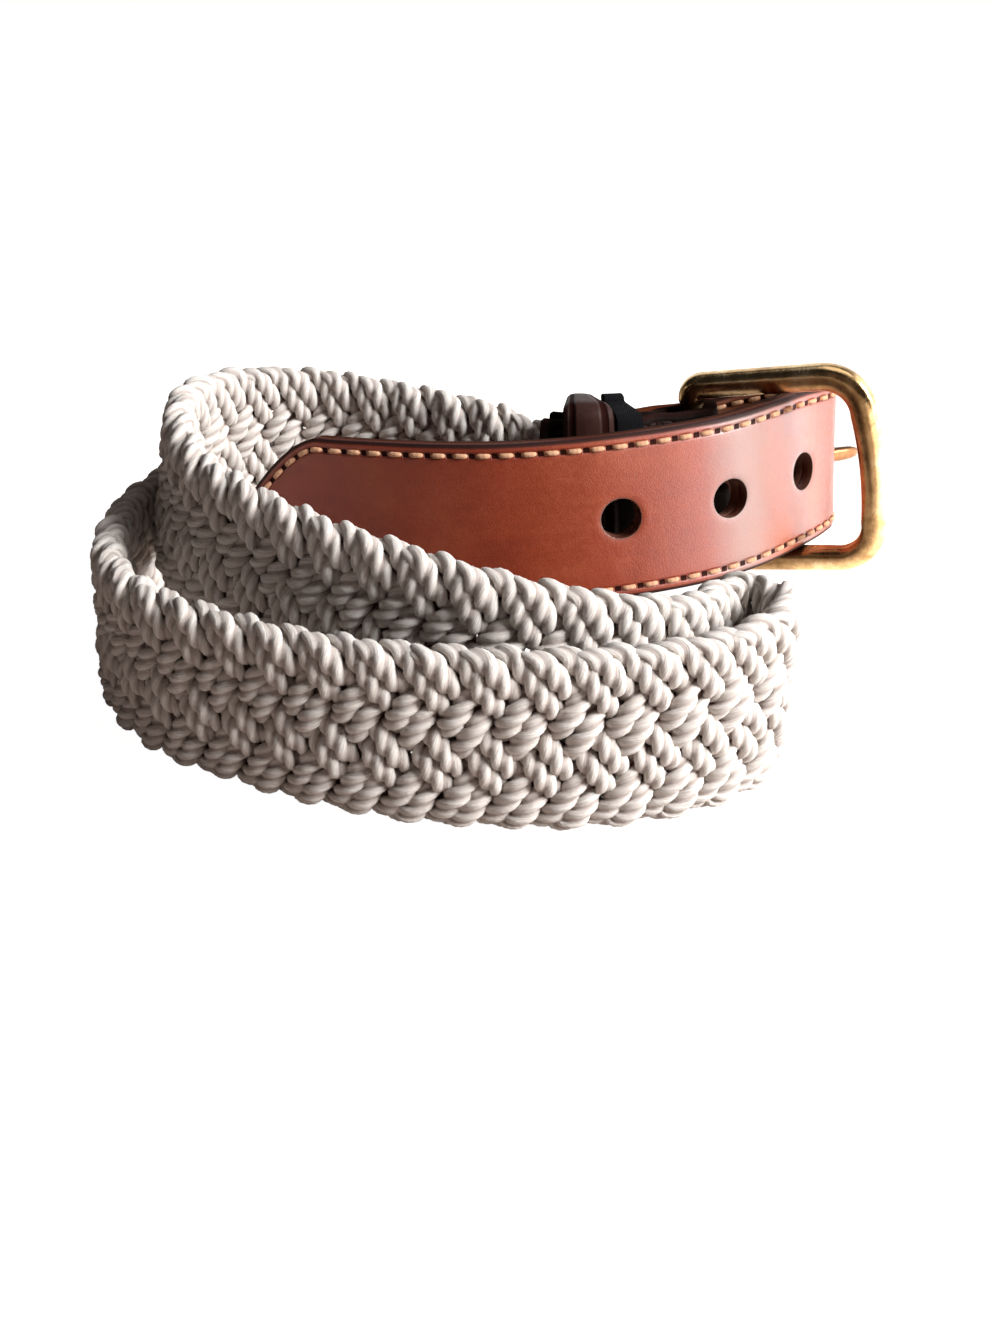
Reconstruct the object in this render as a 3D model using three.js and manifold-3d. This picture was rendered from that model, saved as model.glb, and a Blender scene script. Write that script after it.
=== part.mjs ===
// Braided cotton belt with leather ends and a brass frame buckle.
// The belt is fastened, pressed flat into a doubled band, and that band lies
// coiled in a C on a flat surface, standing on its edge.
// Millimetres, +Z up, resting surface at z = 0, +X along the longest extent.
import * as THREE from 'three';
import { mergeVertices } from 'three/addons/utils/BufferGeometryUtils.js';
import Module from 'manifold-3d';

// ---------------------------------------------------------------- sizes
const BRAID_H = 38;          // height of the braid standing on its edge
const BRAID_T = 8;           // its thickness
const BRAID_R = 3.0;         // rounding of its edges
const BRAID_END_H = 33;      // the end that is stitched between the leathers
const BRAID_END_T = 4.4;
const BRAID_TAPER = 14;      // length over which the braid thins to its ends

const STRAP_H = 36;          // width of the leather ends
const LEATHER_T = 2.6;       // one layer of leather
const GAP = 0.3;             // gap kept between pieces that touch
const SANDWICH = BRAID_END_T / 2 + GAP;   // half gap where leather holds the braid

const TIP_LENGTH = 20;       // taper of the pointed tip
const FIRST_HOLE = 88;       // tip to first hole
const HOLE_PITCH = 25.4;
const HOLE_COUNT = 5;
const HOLE_R = 4.4;
const STRAP_END = 237;       // tip to where the leather stops on the braid
const BRAID_START = 214;     // tip to where the braid starts inside the leather

const CHAPE_LENGTH = 44;     // buckle leather, from its end to the heel bar
const CHAPE_BRAID = 20;      // braid stops this far before the heel bar

const FRAME_L = 45.5, FRAME_H = 50.5, FRAME_CORNER = 12;
const BAR_W = 6.0, BAR_D = 5.2;          // side and end bars, width and depth
const HEEL_R = 2.6;                      // bar under the leather loop
const PRONG_REACH = 46.5, PRONG_W = 4.6, PRONG_T = 3.4;

const KEEPER_W = 10, KEEPER_T = 2.2;
const LABEL_W = 6.4, LABEL_T = 1.1, LABEL_DROP = 12;

// Centre of the bounding box of the finished belt, moved to the origin.
const ORIGIN_X = -0.26, ORIGIN_Y = 249.52;

// ---------------------------------------------------------------- route
// Centre line of the band from the tip of the strap round to the heel bar.
// x, y, z in mm, lean in degrees (top edge tilted towards the left of travel).
const ROUTE = [
  { at: 'tip',             x: -58.0, y: 269.5, z: 30.2, lean: 8 },
  { at: 'strap_left',      x: -40.0, y: 261.0, z: 30.8, lean: 8 },
  { at: 'strap_left_mid',  x: -21.0, y: 253.6, z: 32.2, lean: 9 },
  { at: 'strap_near',      x: -4.0,  y: 249.6, z: 33.3, lean: 9 },
  { at: 'strap_mid',       x: 11.0,  y: 248.8, z: 34.2, lean: 10 },
  { at: 'strap_hole_1',    x: 27.0,  y: 250.4, z: 35.3, lean: 10 },
  { at: 'strap_hole_2',    x: 49.6,  y: 257.4, z: 36.8, lean: 10 },
  { at: 'strap_hole_3',    x: 67.4,  y: 272.6, z: 36.8, lean: 10 },
  { at: 'fold_in_buckle',  x: 79.8,  y: 290.0, z: 34.8, lean: 6 },
  { at: 'fold_back',       x: 77.4,  y: 304.0, z: 31.2, lean: 2 },
  { at: 'behind_buckle',   x: 65.5,  y: 311.0, z: 26.6, lean: 0 },
  { at: 'strap_back',      x: 49.0,  y: 313.0, z: 22.0, lean: 0 },
  { at: 'strap_end',       x: 30.0,  y: 311.0, z: 19.4, lean: 0 },
  { at: 'outer_back_1',    x: 8.0,   y: 308.0, z: 19.0, lean: 0 },
  { at: 'outer_back_2',    x: -17.0, y: 307.0, z: 19.0, lean: 0 },
  { at: 'outer_back_3',    x: -44.0, y: 305.5, z: 19., lean: 0 },
  { at: 'outer_back_4',    x: -66.0, y: 295.5, z: 19.05, lean: 2 },
  { at: 'outer_left_1',    x: -80.6, y: 272.0, z: 19.12, lean: 5 },
  { at: 'outer_left_2',    x: -84.6, y: 248.0, z: 19.15, lean: 6 },
  { at: 'outer_left_3',    x: -80.6, y: 227.5, z: 19.12, lean: 5 },
  { at: 'outer_left_4',    x: -68.2, y: 210.8, z: 19.05, lean: 2 },
  { at: 'outer_front_1',   x: -49.0, y: 199.0, z: 19.0, lean: 0 },
  { at: 'outer_front_2',   x: -28.0, y: 190.2, z: 19.0, lean: 0 },
  { at: 'outer_front_3',   x: -6.0,  y: 186.0, z: 19.0, lean: 0 },
  { at: 'outer_front_4',   x: 15.0,  y: 185.6, z: 19.0, lean: 0 },
  { at: 'outer_front_5',   x: 34.0,  y: 189.6, z: 19.0, lean: 0 },
  { at: 'outer_right',     x: 47.5,  y: 197.4, z: 19.0, lean: 0 },
  { at: 'fold_1',          x: 53.8,  y: 206.0, z: 19.0, lean: 0 },
  { at: 'fold_2',          x: 52.6,  y: 213.4, z: 19.0, lean: 0 },
  { at: 'fold_3',          x: 46.4,  y: 215.6, z: 19.0, lean: 0 },
  { at: 'fold_4',          x: 41.2,  y: 210.4, z: 19.4, lean: 0 },
  { at: 'inner_right',     x: 36.4,  y: 203.4, z: 20.4, lean: 0 },
  { at: 'inner_front_1',   x: 26.0,  y: 198.4, z: 22.6, lean: 0 },
  { at: 'inner_front_2',   x: 12.0,  y: 196.4, z: 25.4, lean: 0 },
  { at: 'inner_front_3',   x: -3.0,  y: 198.4, z: 28.2, lean: 0 },
  { at: 'inner_front_4',   x: -18.0, y: 204.0, z: 30.6, lean: 0 },
  { at: 'inner_front_5',   x: -33.0, y: 211.6, z: 32.6, lean: 0 },
  { at: 'inner_left_1',    x: -47.0, y: 220.8, z: 34.8, lean: 0 },
  { at: 'inner_left_2',    x: -60.0, y: 231.2, z: 37.2, lean: -5 },
  { at: 'inner_left_3',    x: -68.4, y: 244.4, z: 39.8, lean: -10 },
  { at: 'inner_left_4',    x: -72.2, y: 258.8, z: 41.4, lean: -12 },
  { at: 'inner_left_5',    x: -70.0, y: 273.0, z: 41.2, lean: -9 },
  { at: 'inner_back_1',    x: -60.0, y: 284.0, z: 39.8, lean: -4 },
  { at: 'inner_back_2',    x: -44.0, y: 287.4, z: 38.4, lean: 0 },
  { at: 'inner_back_3',    x: -29.0, y: 283.6, z: 37.4, lean: 0 },
  { at: 'inner_back_4',    x: -14.0, y: 276.8, z: 36.4, lean: 2 },
  { at: 'inner_back_5',    x: 0.0,   y: 270.0, z: 35.0, lean: 4 },
  { at: 'chape_start',     x: 11.0,  y: 265.4, z: 34.4, lean: 6 },
  { at: 'chape_mid',       x: 23.0,  y: 265.0, z: 34.4, lean: 7 },
  { at: 'chape_near_bar',  x: 35.0,  y: 271.4, z: 33.6, lean: 7 },
  { at: 'heel_bar',        x: 47.5,  y: 282.0, z: 32.7, lean: 6 },
];

// Buckle frame: centre and tilt of its plane, degrees.
const FRAME = { x: 66.3, y: 272.0, z: 37.2, yaw: -27, lean: -5, roll: 12 };

// ---------------------------------------------------------------- route maths
const rad = THREE.MathUtils.degToRad;
const V = (x, y, z) => new THREE.Vector3(x, y, z);
const UP = V(0, 0, 1);

const curve = new THREE.CatmullRomCurve3(ROUTE.map((r) => V(r.x, r.y, r.z)), false, 'centripetal');
const SAMPLES = 4000;
curve.arcLengthDivisions = SAMPLES;
const LENGTHS = curve.getLengths(SAMPLES);
const TOTAL = LENGTHS[SAMPLES];

// length along the route of each named row
const rowLength = ROUTE.map((r, i) => LENGTHS[Math.round((i / (ROUTE.length - 1)) * SAMPLES)]);
const lengthAt = (name) => rowLength[ROUTE.findIndex((r) => r.at === name)];

function leanAt(s) {
  let i = 0;
  while (i < ROUTE.length - 2 && rowLength[i + 1] < s) i++;
  const t = THREE.MathUtils.clamp((s - rowLength[i]) / (rowLength[i + 1] - rowLength[i]), 0, 1);
  const e = t * t * (3 - 2 * t);
  return rad(ROUTE[i].lean + (ROUTE[i + 1].lean - ROUTE[i].lean) * e);
}

// position, travel direction, side and height axes of the band at length s
function frameAt(s) {
  const u = THREE.MathUtils.clamp(s / TOTAL, 0, 1);
  const p = curve.getPointAt(u);
  if (s > STRAP_END) p.z = Math.max(p.z, BRAID_H / 2);   // the braid rests on the surface
  const t = curve.getTangentAt(u).normalize();
  const n0 = UP.clone().cross(t).normalize();
  const h0 = t.clone().cross(n0).normalize();
  const a = leanAt(s);
  const h = h0.clone().multiplyScalar(Math.cos(a)).addScaledVector(n0, Math.sin(a));
  const n = n0.clone().multiplyScalar(Math.cos(a)).addScaledVector(h0, -Math.sin(a));
  return { p, t, n, h };
}

// stations closer together where the band bends more
function stations(s0, s1, coarse, fine) {
  const out = [s0];
  let s = s0;
  while (s < s1 - 1e-6) {
    const a = frameAt(s).t, b = frameAt(Math.min(s + 4, s1)).t;
    const bend = a.angleTo(b) / 4;
    s += THREE.MathUtils.clamp(0.13 / Math.max(bend, 1e-4), fine, coarse);
    out.push(Math.min(s, s1));
  }
  return out;
}

// ---------------------------------------------------------------- solids
// closed solid from rings of points of equal count
function skin(rings) {
  const m = rings[0].length, pos = [], idx = [];
  for (const ring of rings) for (const q of ring) pos.push(q.x, q.y, q.z);
  for (let i = 0; i < rings.length - 1; i++) {
    for (let j = 0; j < m; j++) {
      const a = i * m + j, b = i * m + ((j + 1) % m), c = a + m, d = b + m;
      idx.push(a, b, d, a, d, c);
    }
  }
  const last = (rings.length - 1) * m;
  for (let j = 1; j < m - 1; j++) {
    idx.push(0, j + 1, j);
    idx.push(last, last + j, last + j + 1);
  }
  const g = new THREE.BufferGeometry();
  g.setAttribute('position', new THREE.Float32BufferAttribute(pos, 3));
  g.setIndex(idx);
  return outward(g);
}

// faces turned outward, by the sign of the enclosed volume
function outward(g) {
  const p = g.getAttribute('position'), ix = g.getIndex().array;
  const a = V(), b = V(), c = V();
  let vol = 0;
  for (let i = 0; i < ix.length; i += 3) {
    a.fromBufferAttribute(p, ix[i]); b.fromBufferAttribute(p, ix[i + 1]); c.fromBufferAttribute(p, ix[i + 2]);
    vol += a.dot(b.clone().cross(c));
  }
  if (vol < 0) {
    const f = Array.from(ix);
    for (let i = 0; i < f.length; i += 3) { const k = f[i + 1]; f[i + 1] = f[i + 2]; f[i + 2] = k; }
    g.setIndex(f);
  }
  return g;
}

// rounded rectangle as [side, height] pairs, counter-clockwise
function roundRect(w, h, r, n) {
  const pts = [];
  const rr = Math.min(r, w / 2 - 0.02, h / 2 - 0.02);
  for (const [sx, sy, a0] of [[1, 1, 0], [-1, 1, 90], [-1, -1, 180], [1, -1, 270]]) {
    for (let k = 0; k <= n; k++) {
      const a = rad(a0 + (90 * k) / n);
      pts.push([sx * (w / 2 - rr) + rr * Math.cos(a), sy * (h / 2 - rr) + rr * Math.sin(a)]);
    }
  }
  return pts;
}

const place = (f, a, b) => f.p.clone().addScaledVector(f.n, a).addScaledVector(f.h, b);

// band of the given section swept along the route
function sweep(list, section, at = frameAt) {
  return skin(list.map((s) => { const f = at(s); return section(s).map(([a, b]) => place(f, a, b)); }));
}

const smooth = (x) => { const t = THREE.MathUtils.clamp(x, 0, 1); return t * t * (3 - 2 * t); };

// ---------------------------------------------------------------- booleans
const wasm = await Module();
wasm.setup();
function toManifold(g) {
  const c = g.clone();
  c.deleteAttribute('normal'); c.deleteAttribute('uv');
  const m = mergeVertices(c, 1e-4);
  return new wasm.Manifold(new wasm.Mesh({
    numProp: 3,
    vertProperties: new Float32Array(m.getAttribute('position').array),
    triVerts: new Uint32Array(m.getIndex().array),
  }));
}
function fromManifold(m) {
  const mesh = m.getMesh(), g = new THREE.BufferGeometry();
  g.setAttribute('position', new THREE.Float32BufferAttribute(Array.from(mesh.vertProperties), 3));
  g.setIndex(Array.from(mesh.triVerts));
  return g;
}

// prism along an axis, ends closed
function rodBetween(a, b, r, sides) {
  const t = b.clone().sub(a).normalize();
  const x = (Math.abs(t.z) < 0.9 ? UP.clone() : V(1, 0, 0)).cross(t).normalize();
  const y = t.clone().cross(x);
  const ring = (p) => Array.from({ length: sides }, (_, k) => {
    const w = (2 * Math.PI * k) / sides;
    return p.clone().addScaledVector(x, r * Math.cos(w)).addScaledVector(y, r * Math.sin(w));
  });
  return skin([ring(a), ring(b)]);
}

// block with its own axes: centre, three axes, three half sizes
function block(c, ax, ay, az, hx, hy, hz) {
  const ring = (k) => [[-1, -1], [1, -1], [1, 1], [-1, 1]].map(([i, j]) =>
    c.clone().addScaledVector(ax, i * hx).addScaledVector(ay, j * hy).addScaledVector(az, k * hz));
  return skin([ring(-1), ring(1)]);
}

// ---------------------------------------------------------------- braid
const HEEL_S = TOTAL;                       // the route ends on the heel bar
const BRAID_STOP = HEEL_S - CHAPE_BRAID;
const CHAPE_START = HEEL_S - CHAPE_LENGTH;

function braidSection(s) {
  const d = Math.min(s - STRAP_END, CHAPE_START - s) / BRAID_TAPER;   // 0 at the leather's edge
  const e = smooth(d);
  const h = BRAID_END_H + (BRAID_H - BRAID_END_H) * e;
  const w = BRAID_END_T + (BRAID_T - BRAID_END_T) * e;
  const r = Math.min(BRAID_R, w / 2 - 0.3);
  return roundRect(w, h, r, 3);
}

// ---------------------------------------------------------------- tip strap
// half the strap's height, tapered to the tip
function strapHalf(s) {
  const d = THREE.MathUtils.clamp((TIP_LENGTH - s) / TIP_LENGTH, 0, 1);
  return (STRAP_H / 2) * (1 - 0.94 * Math.pow(d, 1.7));
}
// half gap between the two layers of leather
const strapGap = (s) => GAP / 2 + (SANDWICH - GAP / 2) * smooth((s - BRAID_START + 12) / 10);

function strapLayer(side) {
  const list = [0, 1.2, 3, 5.5, 8.5, 12, 16, ...stations(TIP_LENGTH, STRAP_END, 6.0, 2.0)];
  let solid = toManifold(sweep(list, (s) => {
    const g = strapGap(s), h = strapHalf(s);
    const i = side * g, o = side * (g + LEATHER_T), c = Math.min(0.8, h * 0.4);
    // outer edges are bevelled
    return [[i, -h], [o - side * 0.7, -h], [o, -h + c], [o, h - c], [o - side * 0.7, h], [i, h]];
  }));
  for (let k = 0; k < HOLE_COUNT; k++) {
    const f = frameAt(FIRST_HOLE + k * HOLE_PITCH);
    const punch = rodBetween(f.p.clone().addScaledVector(f.n, -9), f.p.clone().addScaledVector(f.n, 9), HOLE_R, 20);
    solid = solid.subtract(toManifold(punch));
  }
  return fromManifold(solid);
}
// travel is left to right on the near side, so the face that shows is the right-hand one
const strapFace = strapLayer(-1);
const strapLining = strapLayer(1);

// ---------------------------------------------------------------- buckle frame
function buckleAxes() {
  const y = rad(FRAME.yaw), l = rad(FRAME.lean), r = rad(FRAME.roll);
  const u = V(Math.cos(y), Math.sin(y), 0), n = V(-Math.sin(y), Math.cos(y), 0);
  const v = UP.clone().multiplyScalar(Math.cos(l)).addScaledVector(n, Math.sin(l));
  const u3 = u.clone().multiplyScalar(Math.cos(r)).addScaledVector(v, Math.sin(r));
  const v3 = u.clone().multiplyScalar(-Math.sin(r)).addScaledVector(v, Math.cos(r));
  return { c: V(FRAME.x, FRAME.y, FRAME.z), u: u3, v: v3, w: u3.clone().cross(v3).negate() };
}
const B = buckleAxes();                     // w points away from the viewer
const onFrame = (a, b, c) => B.c.clone().addScaledVector(B.u, a).addScaledVector(B.v, b).addScaledVector(B.w, c);
const HEEL_A = -(FRAME_L / 2 - BAR_W / 2);  // place of the heel bar along the frame

// one closed loop of bar: middle line of a rounded rectangle, elliptic section,
// round and thinner along the heel side
function frameLoop() {
  const L = FRAME_L - BAR_W, H = FRAME_H - BAR_W, R = FRAME_CORNER - BAR_W / 2;
  const mid = [];
  const corners = [[1, 1, 0], [-1, 1, 90], [-1, -1, 180], [1, -1, 270]];
  for (const [sx, sy, a0] of corners) {
    // the heel side is squarer than the far side
    const r = sx < 0 ? 3.2 : R;
    for (let k = 0; k <= 6; k++) {
      const a = rad(a0 + 15 * k);
      mid.push([sx * (L / 2 - r) + r * Math.cos(a), sy * (H / 2 - r) + r * Math.sin(a)]);
    }
    if (sx < 0 && sy > 0) for (const b of [17.6, 10, 0, -10, -17.6]) mid.push([-L / 2, b]);
    if (sx > 0 && sy < 0) for (const b of [-7, 0, 7]) mid.push([L / 2 + 0.9 * (1 - (b / 9) ** 2), b]);
  }
  const n = mid.length, rings = [];
  for (let i = 0; i < n; i++) {
    const [px, py] = mid[(i + n - 1) % n], [qx, qy] = mid[(i + 1) % n], [x, y] = mid[i];
    let tx = qx - px, ty = qy - py; const tl = Math.hypot(tx, ty); tx /= tl; ty /= tl;
    const ox = ty, oy = -tx;                // outward in the frame's plane
    const heel = x < -L / 2 + 0.5 ? smooth((H / 2 - 3.0 - Math.abs(y)) / 1.2) : 0;
    const hw = BAR_W / 2 + (HEEL_R - BAR_W / 2) * heel, hd = BAR_D / 2 + (HEEL_R - BAR_D / 2) * heel;
    rings.push(Array.from({ length: 12 }, (_, k) => {
      const a = (2 * Math.PI * k) / 12, ca = Math.cos(a), sa = Math.sin(a);
      // a little squarer than an ellipse
      const q = Math.pow(Math.abs(ca), 2.6) + Math.pow(Math.abs(sa), 2.6), e = heel > 0.5 ? 1 : Math.pow(q, -1 / 2.6);
      return onFrame(x + ox * hw * ca * e, y + oy * hw * ca * e, hd * sa * e);
    }));
  }
  // join the last ring to the first: a closed loop without caps
  const pos = [], idx = [], m = 12;
  for (const ring of rings) for (const p of ring) pos.push(p.x, p.y, p.z);
  for (let i = 0; i < n; i++) for (let j = 0; j < m; j++) {
    const a = i * m + j, b = i * m + ((j + 1) % m), c = ((i + 1) % n) * m + j, d = ((i + 1) % n) * m + ((j + 1) % m);
    idx.push(a, b, d, a, d, c);
  }
  const g = new THREE.BufferGeometry();
  g.setAttribute('position', new THREE.Float32BufferAttribute(pos, 3));
  g.setIndex(idx);
  return outward(g);
}
const frame = frameLoop();
const heel = onFrame(HEEL_A, 0, 0);

// ---------------------------------------------------------------- prong
// ring round the heel bar, shank out through the fourth hole of the strap
const prongHole = frameAt(FIRST_HOLE + 3 * HOLE_PITCH);
const shankDir = prongHole.p.clone().addScaledVector(prongHole.h, -1.3).sub(heel).normalize();
const pu = shankDir.clone().addScaledVector(B.v, -shankDir.dot(B.v)).normalize();
const pw = B.v.clone().cross(pu).normalize();
function makeProng() {
  const ring = (r, h) => [-h, h].map((b) => Array.from({ length: 16 }, (_, k) => {
    const a = (2 * Math.PI * k) / 16;
    return heel.clone().addScaledVector(B.v, b).addScaledVector(pu, r * Math.cos(a)).addScaledVector(pw, r * Math.sin(a));
  }));
  const eye = toManifold(skin(ring(HEEL_R + GAP + 1.7, PRONG_W / 2)))
    .subtract(toManifold(skin(ring(HEEL_R + GAP, PRONG_W))));
  // shank rows: distance from the heel bar, half width, half thickness
  const rows = [
    { d: HEEL_R + GAP + 0.5, w: PRONG_W / 2, t: PRONG_T / 2 },
    { d: 12, w: 2.2, t: 1.7 }, { d: 26, w: 2.0, t: 1.6 },
    { d: 41.5, w: 1.8, t: 1.5 }, { d: 45.5, w: 1.4, t: 1.2 }, { d: PRONG_REACH, w: 0.7, t: 0.6 },
  ];
  const hv = B.v.clone().addScaledVector(shankDir, -B.v.dot(shankDir)).normalize();
  const hw = shankDir.clone().cross(hv).normalize();
  const shank = skin(rows.map((r) => roundRect(2 * r.w, 2 * r.t, 0.8 * Math.min(r.w, r.t), 2).map(([a, b]) =>
    heel.clone().addScaledVector(shankDir, r.d).addScaledVector(hv, a).addScaledVector(hw, b))));
  return fromManifold(eye.add(toManifold(shank)));
}
const prong = makeProng();

// ---------------------------------------------------------------- chape
// one piece of leather, from the near layer round the heel bar to the far layer
function chapeFrame(s) {
  // the height axis turns to follow the heel bar
  const f = frameAt(Math.min(s, TOTAL - 0.01));
  const e = smooth((s - CHAPE_START) / (CHAPE_LENGTH - 8));
  const h = f.h.clone().lerp(B.v, e).normalize();
  const t = f.t.clone();
  const n = h.clone().cross(t).normalize();
  return { p: f.p, t, n, h };
}
const BAR_LOOP = HEEL_R + GAP;               // inside radius of the fold
const FOLD_HALF = 17.2;                      // half the height of the fold
function chapeGap(s) {
  const d = HEEL_S - s;                      // distance from the heel bar
  if (d < 13) return GAP / 2 + (BAR_LOOP - GAP / 2) * smooth((13 - d) / 10);
  return GAP / 2 + (SANDWICH - GAP / 2) * smooth((d - 13) / 6.5);
}
function chapeHalf(s) {
  // the fold is a little narrower than the strap, to sit between the side bars
  return STRAP_H / 2 - (STRAP_H / 2 - FOLD_HALF) * smooth((s - HEEL_S + 14) / 8);
}
function makeChape() {
  const lens = [];
  for (let s = CHAPE_START; s < HEEL_S - 3.2; s += 2.6) lens.push(s);
  lens.push(HEEL_S - 3);
  const rings = [];
  const leaf = (s, side) => {
    const f = chapeFrame(s), g = chapeGap(s), hh = chapeHalf(s);
    const pt = (a, b) => f.p.clone().addScaledVector(f.n, a).addScaledVector(f.h, b);
    return [pt(side * g, -hh), pt(side * (g + LEATHER_T), -hh), pt(side * (g + LEATHER_T), hh), pt(side * g, hh)];
  };
  for (const s of lens) rings.push(leaf(s, -1));
  // round the bar
  const e = chapeFrame(HEEL_S), te = e.h.clone().cross(e.n).negate().normalize();
  for (let k = 0; k <= 10; k++) {
    const a = Math.PI * (k / 10);            // from the near side round to the far side
    const dir = e.n.clone().multiplyScalar(-Math.cos(a)).addScaledVector(te, Math.sin(a));
    const pt = (r, b) => heel.clone().addScaledVector(dir, r).addScaledVector(e.h, b);
    const hh = FOLD_HALF;
    rings.push([pt(BAR_LOOP, -hh), pt(BAR_LOOP + LEATHER_T, -hh), pt(BAR_LOOP + LEATHER_T, hh), pt(BAR_LOOP, hh)]);
  }
  for (const s of lens.slice().reverse()) rings.push(leaf(s, 1));
  let solid = toManifold(skin(rings));
  // slot for the prong
  solid = solid.subtract(toManifold(block(heel.clone().addScaledVector(te, 0.5), te, e.n, e.h, 11, 12, PRONG_W / 2 + 1.5)));
  return fromManifold(solid);
}
const chape = makeChape();

// the braid follows the chape's own tilt where it is stitched into it
const braid = sweep(stations(BRAID_START, BRAID_STOP, 6.0, 2.2), braidSection, chapeFrame);

// ---------------------------------------------------------------- keeper, label
// leather loop round the chape and, beside it, a plain woven tab folded over its top edge
function loopRound(sMid, width, thick, inner, height, dz) {
  const rings = [];
  const outline = (w, h, r) => roundRect(w, h, r, 3);
  const half = width / 2;
  const at = (s, list) => { const f = chapeFrame(s); return list.map(([a, b]) => place(f, a, b + dz)); };
  // the outside is domed across its width
  const dome = [[-1, 0.5], [-0.82, 0.84], [-0.5, 1], [0, 1], [0.5, 1], [0.82, 0.84], [1, 0.5]];
  const outer = toManifold(skin(dome.map(([k, d]) => at(sMid + k * half, outline(inner + 2 * thick * d, height + 2 * thick * d, 1.4 + 1.8 * d)))));
  const bore = toManifold(skin([-1.2, -0.5, 0, 0.5, 1.2].map((k) => at(sMid + k * half, outline(inner, height, 1.4)))));
  return fromManifold(outer.subtract(bore));
}
const CHAPE_THICK = 2 * (SANDWICH + LEATHER_T);
const KEEPER_S = HEEL_S - 33.5;
const keeper = loopRound(KEEPER_S, KEEPER_W, KEEPER_T, CHAPE_THICK + 1.2, STRAP_H + 2.6, 0.9);

function makeLabel() {
  const s0 = KEEPER_S + KEEPER_W / 2 + 0.4, s1 = s0 + LABEL_W;
  const inN = CHAPE_THICK / 2 + 0.9, top = STRAP_H / 2 + 4.6, drop = STRAP_H / 2 - LABEL_DROP;
  const shut = STRAP_H / 2 + 0.8, o = inN + LABEL_T;
  // two leaves down the chape's sides, closed on each other above its top edge
  const list = [0, 0.25, 0.5, 0.75, 1].map((k) => s0 + (s1 - s0) * k);
  const run = (pts) => toManifold(skin(list.map((s) => { const f = chapeFrame(s); return pts.map(([a, b]) => place(f, a, b)); })));
  const bodyOuter = run([[-o, drop], [o, drop], [o, shut + 0.4], [LABEL_T, shut + 2.4], [-LABEL_T, shut + 2.4], [-o, shut + 0.4]])
    .add(run([[-LABEL_T, shut + 2], [LABEL_T, shut + 2], [LABEL_T, top], [-LABEL_T, top]]));
  const pad = [s0 - 1, ...list.slice(1, -1), s1 + 1];
  const inside = toManifold(skin(pad.map((s) => {
    const f = chapeFrame(s);
    return [[-inN, drop - 2], [inN, drop - 2], [inN, shut - 0.6], [inN - 0.6, shut], [-inN + 0.6, shut], [-inN, shut - 0.6]].map(([a, b]) => place(f, a, b));
  })));
  return fromManifold(bodyOuter.subtract(inside));
}
const label = makeLabel();

// ---------------------------------------------------------------- assembly
const belt = new THREE.Group();
function add(name, geometry, color, roughness, metalness) {
  const g = geometry.index ? geometry.toNonIndexed() : geometry;
  g.translate(-ORIGIN_X, -ORIGIN_Y, 0);
  g.computeVertexNormals();
  const mesh = new THREE.Mesh(g, new THREE.MeshStandardMaterial({ color, roughness, metalness }));
  mesh.name = name;
  belt.add(mesh);
}
add('braid', braid, 0xd9cfc2, 0.95, 0);
add('tip_strap_face', strapFace, 0xb4643c, 0.5, 0);
add('tip_strap_lining', strapLining, 0x8a4a2c, 0.6, 0);
add('chape', chape, 0x4a2a1e, 0.6, 0);
add('keeper', keeper, 0x6a3a28, 0.55, 0);
add('label', label, 0x17181c, 0.9, 0);
add('buckle_frame', frame, 0x9a6a30, 0.32, 1);
add('prong', prong, 0x8a6232, 0.35, 1);

export default belt;
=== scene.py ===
import bpy
import math
import numpy as np
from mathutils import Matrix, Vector


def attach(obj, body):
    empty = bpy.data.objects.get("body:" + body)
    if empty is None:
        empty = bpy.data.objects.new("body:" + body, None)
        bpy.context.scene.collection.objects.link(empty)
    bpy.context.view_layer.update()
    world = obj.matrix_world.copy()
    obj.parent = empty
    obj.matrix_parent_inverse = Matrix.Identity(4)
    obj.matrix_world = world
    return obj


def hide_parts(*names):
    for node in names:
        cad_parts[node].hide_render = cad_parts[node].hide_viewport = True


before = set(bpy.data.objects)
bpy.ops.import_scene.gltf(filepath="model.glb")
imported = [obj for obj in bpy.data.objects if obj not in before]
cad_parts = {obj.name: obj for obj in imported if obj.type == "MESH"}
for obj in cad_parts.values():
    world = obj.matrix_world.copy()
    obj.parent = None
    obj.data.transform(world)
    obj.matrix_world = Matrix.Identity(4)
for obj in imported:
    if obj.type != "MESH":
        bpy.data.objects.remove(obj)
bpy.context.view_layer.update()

# ------------------------------------------------------------------ sizes, mm
BRAID_H, BRAID_T = 38.0, 8.0
BRAID_END_H, BRAID_END_T, BRAID_TAPER = 33.0, 4.4, 14.0
STRAP_H, LEATHER_T, GAP = 36.0, 2.6, 0.3
SANDWICH = BRAID_END_T / 2 + GAP
TIP_LENGTH, FIRST_HOLE, HOLE_PITCH, HOLE_COUNT, HOLE_R = 20.0, 88.0, 25.4, 5, 4.4
STRAP_END, BRAID_START = 237.0, 214.0
CHAPE_LENGTH, CHAPE_BRAID = 44.0, 20.0
FRAME_L, FRAME_H, FRAME_CORNER = 45.5, 50.5, 12.0
BAR_W, BAR_D, HEEL_R = 6.0, 5.2, 2.6
PRONG_REACH, PRONG_W, PRONG_T = 46.5, 4.6, 3.4
KEEPER_W, KEEPER_T = 10.0, 2.2
LABEL_W, LABEL_T, LABEL_DROP = 6.4, 1.1, 12.0
ORIGIN = np.array([-0.26, 249.52, 0.0])
FRAME_POSE = dict(x=66.3, y=272.0, z=37.2, yaw=-27, lean=-5, roll=12)

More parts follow.
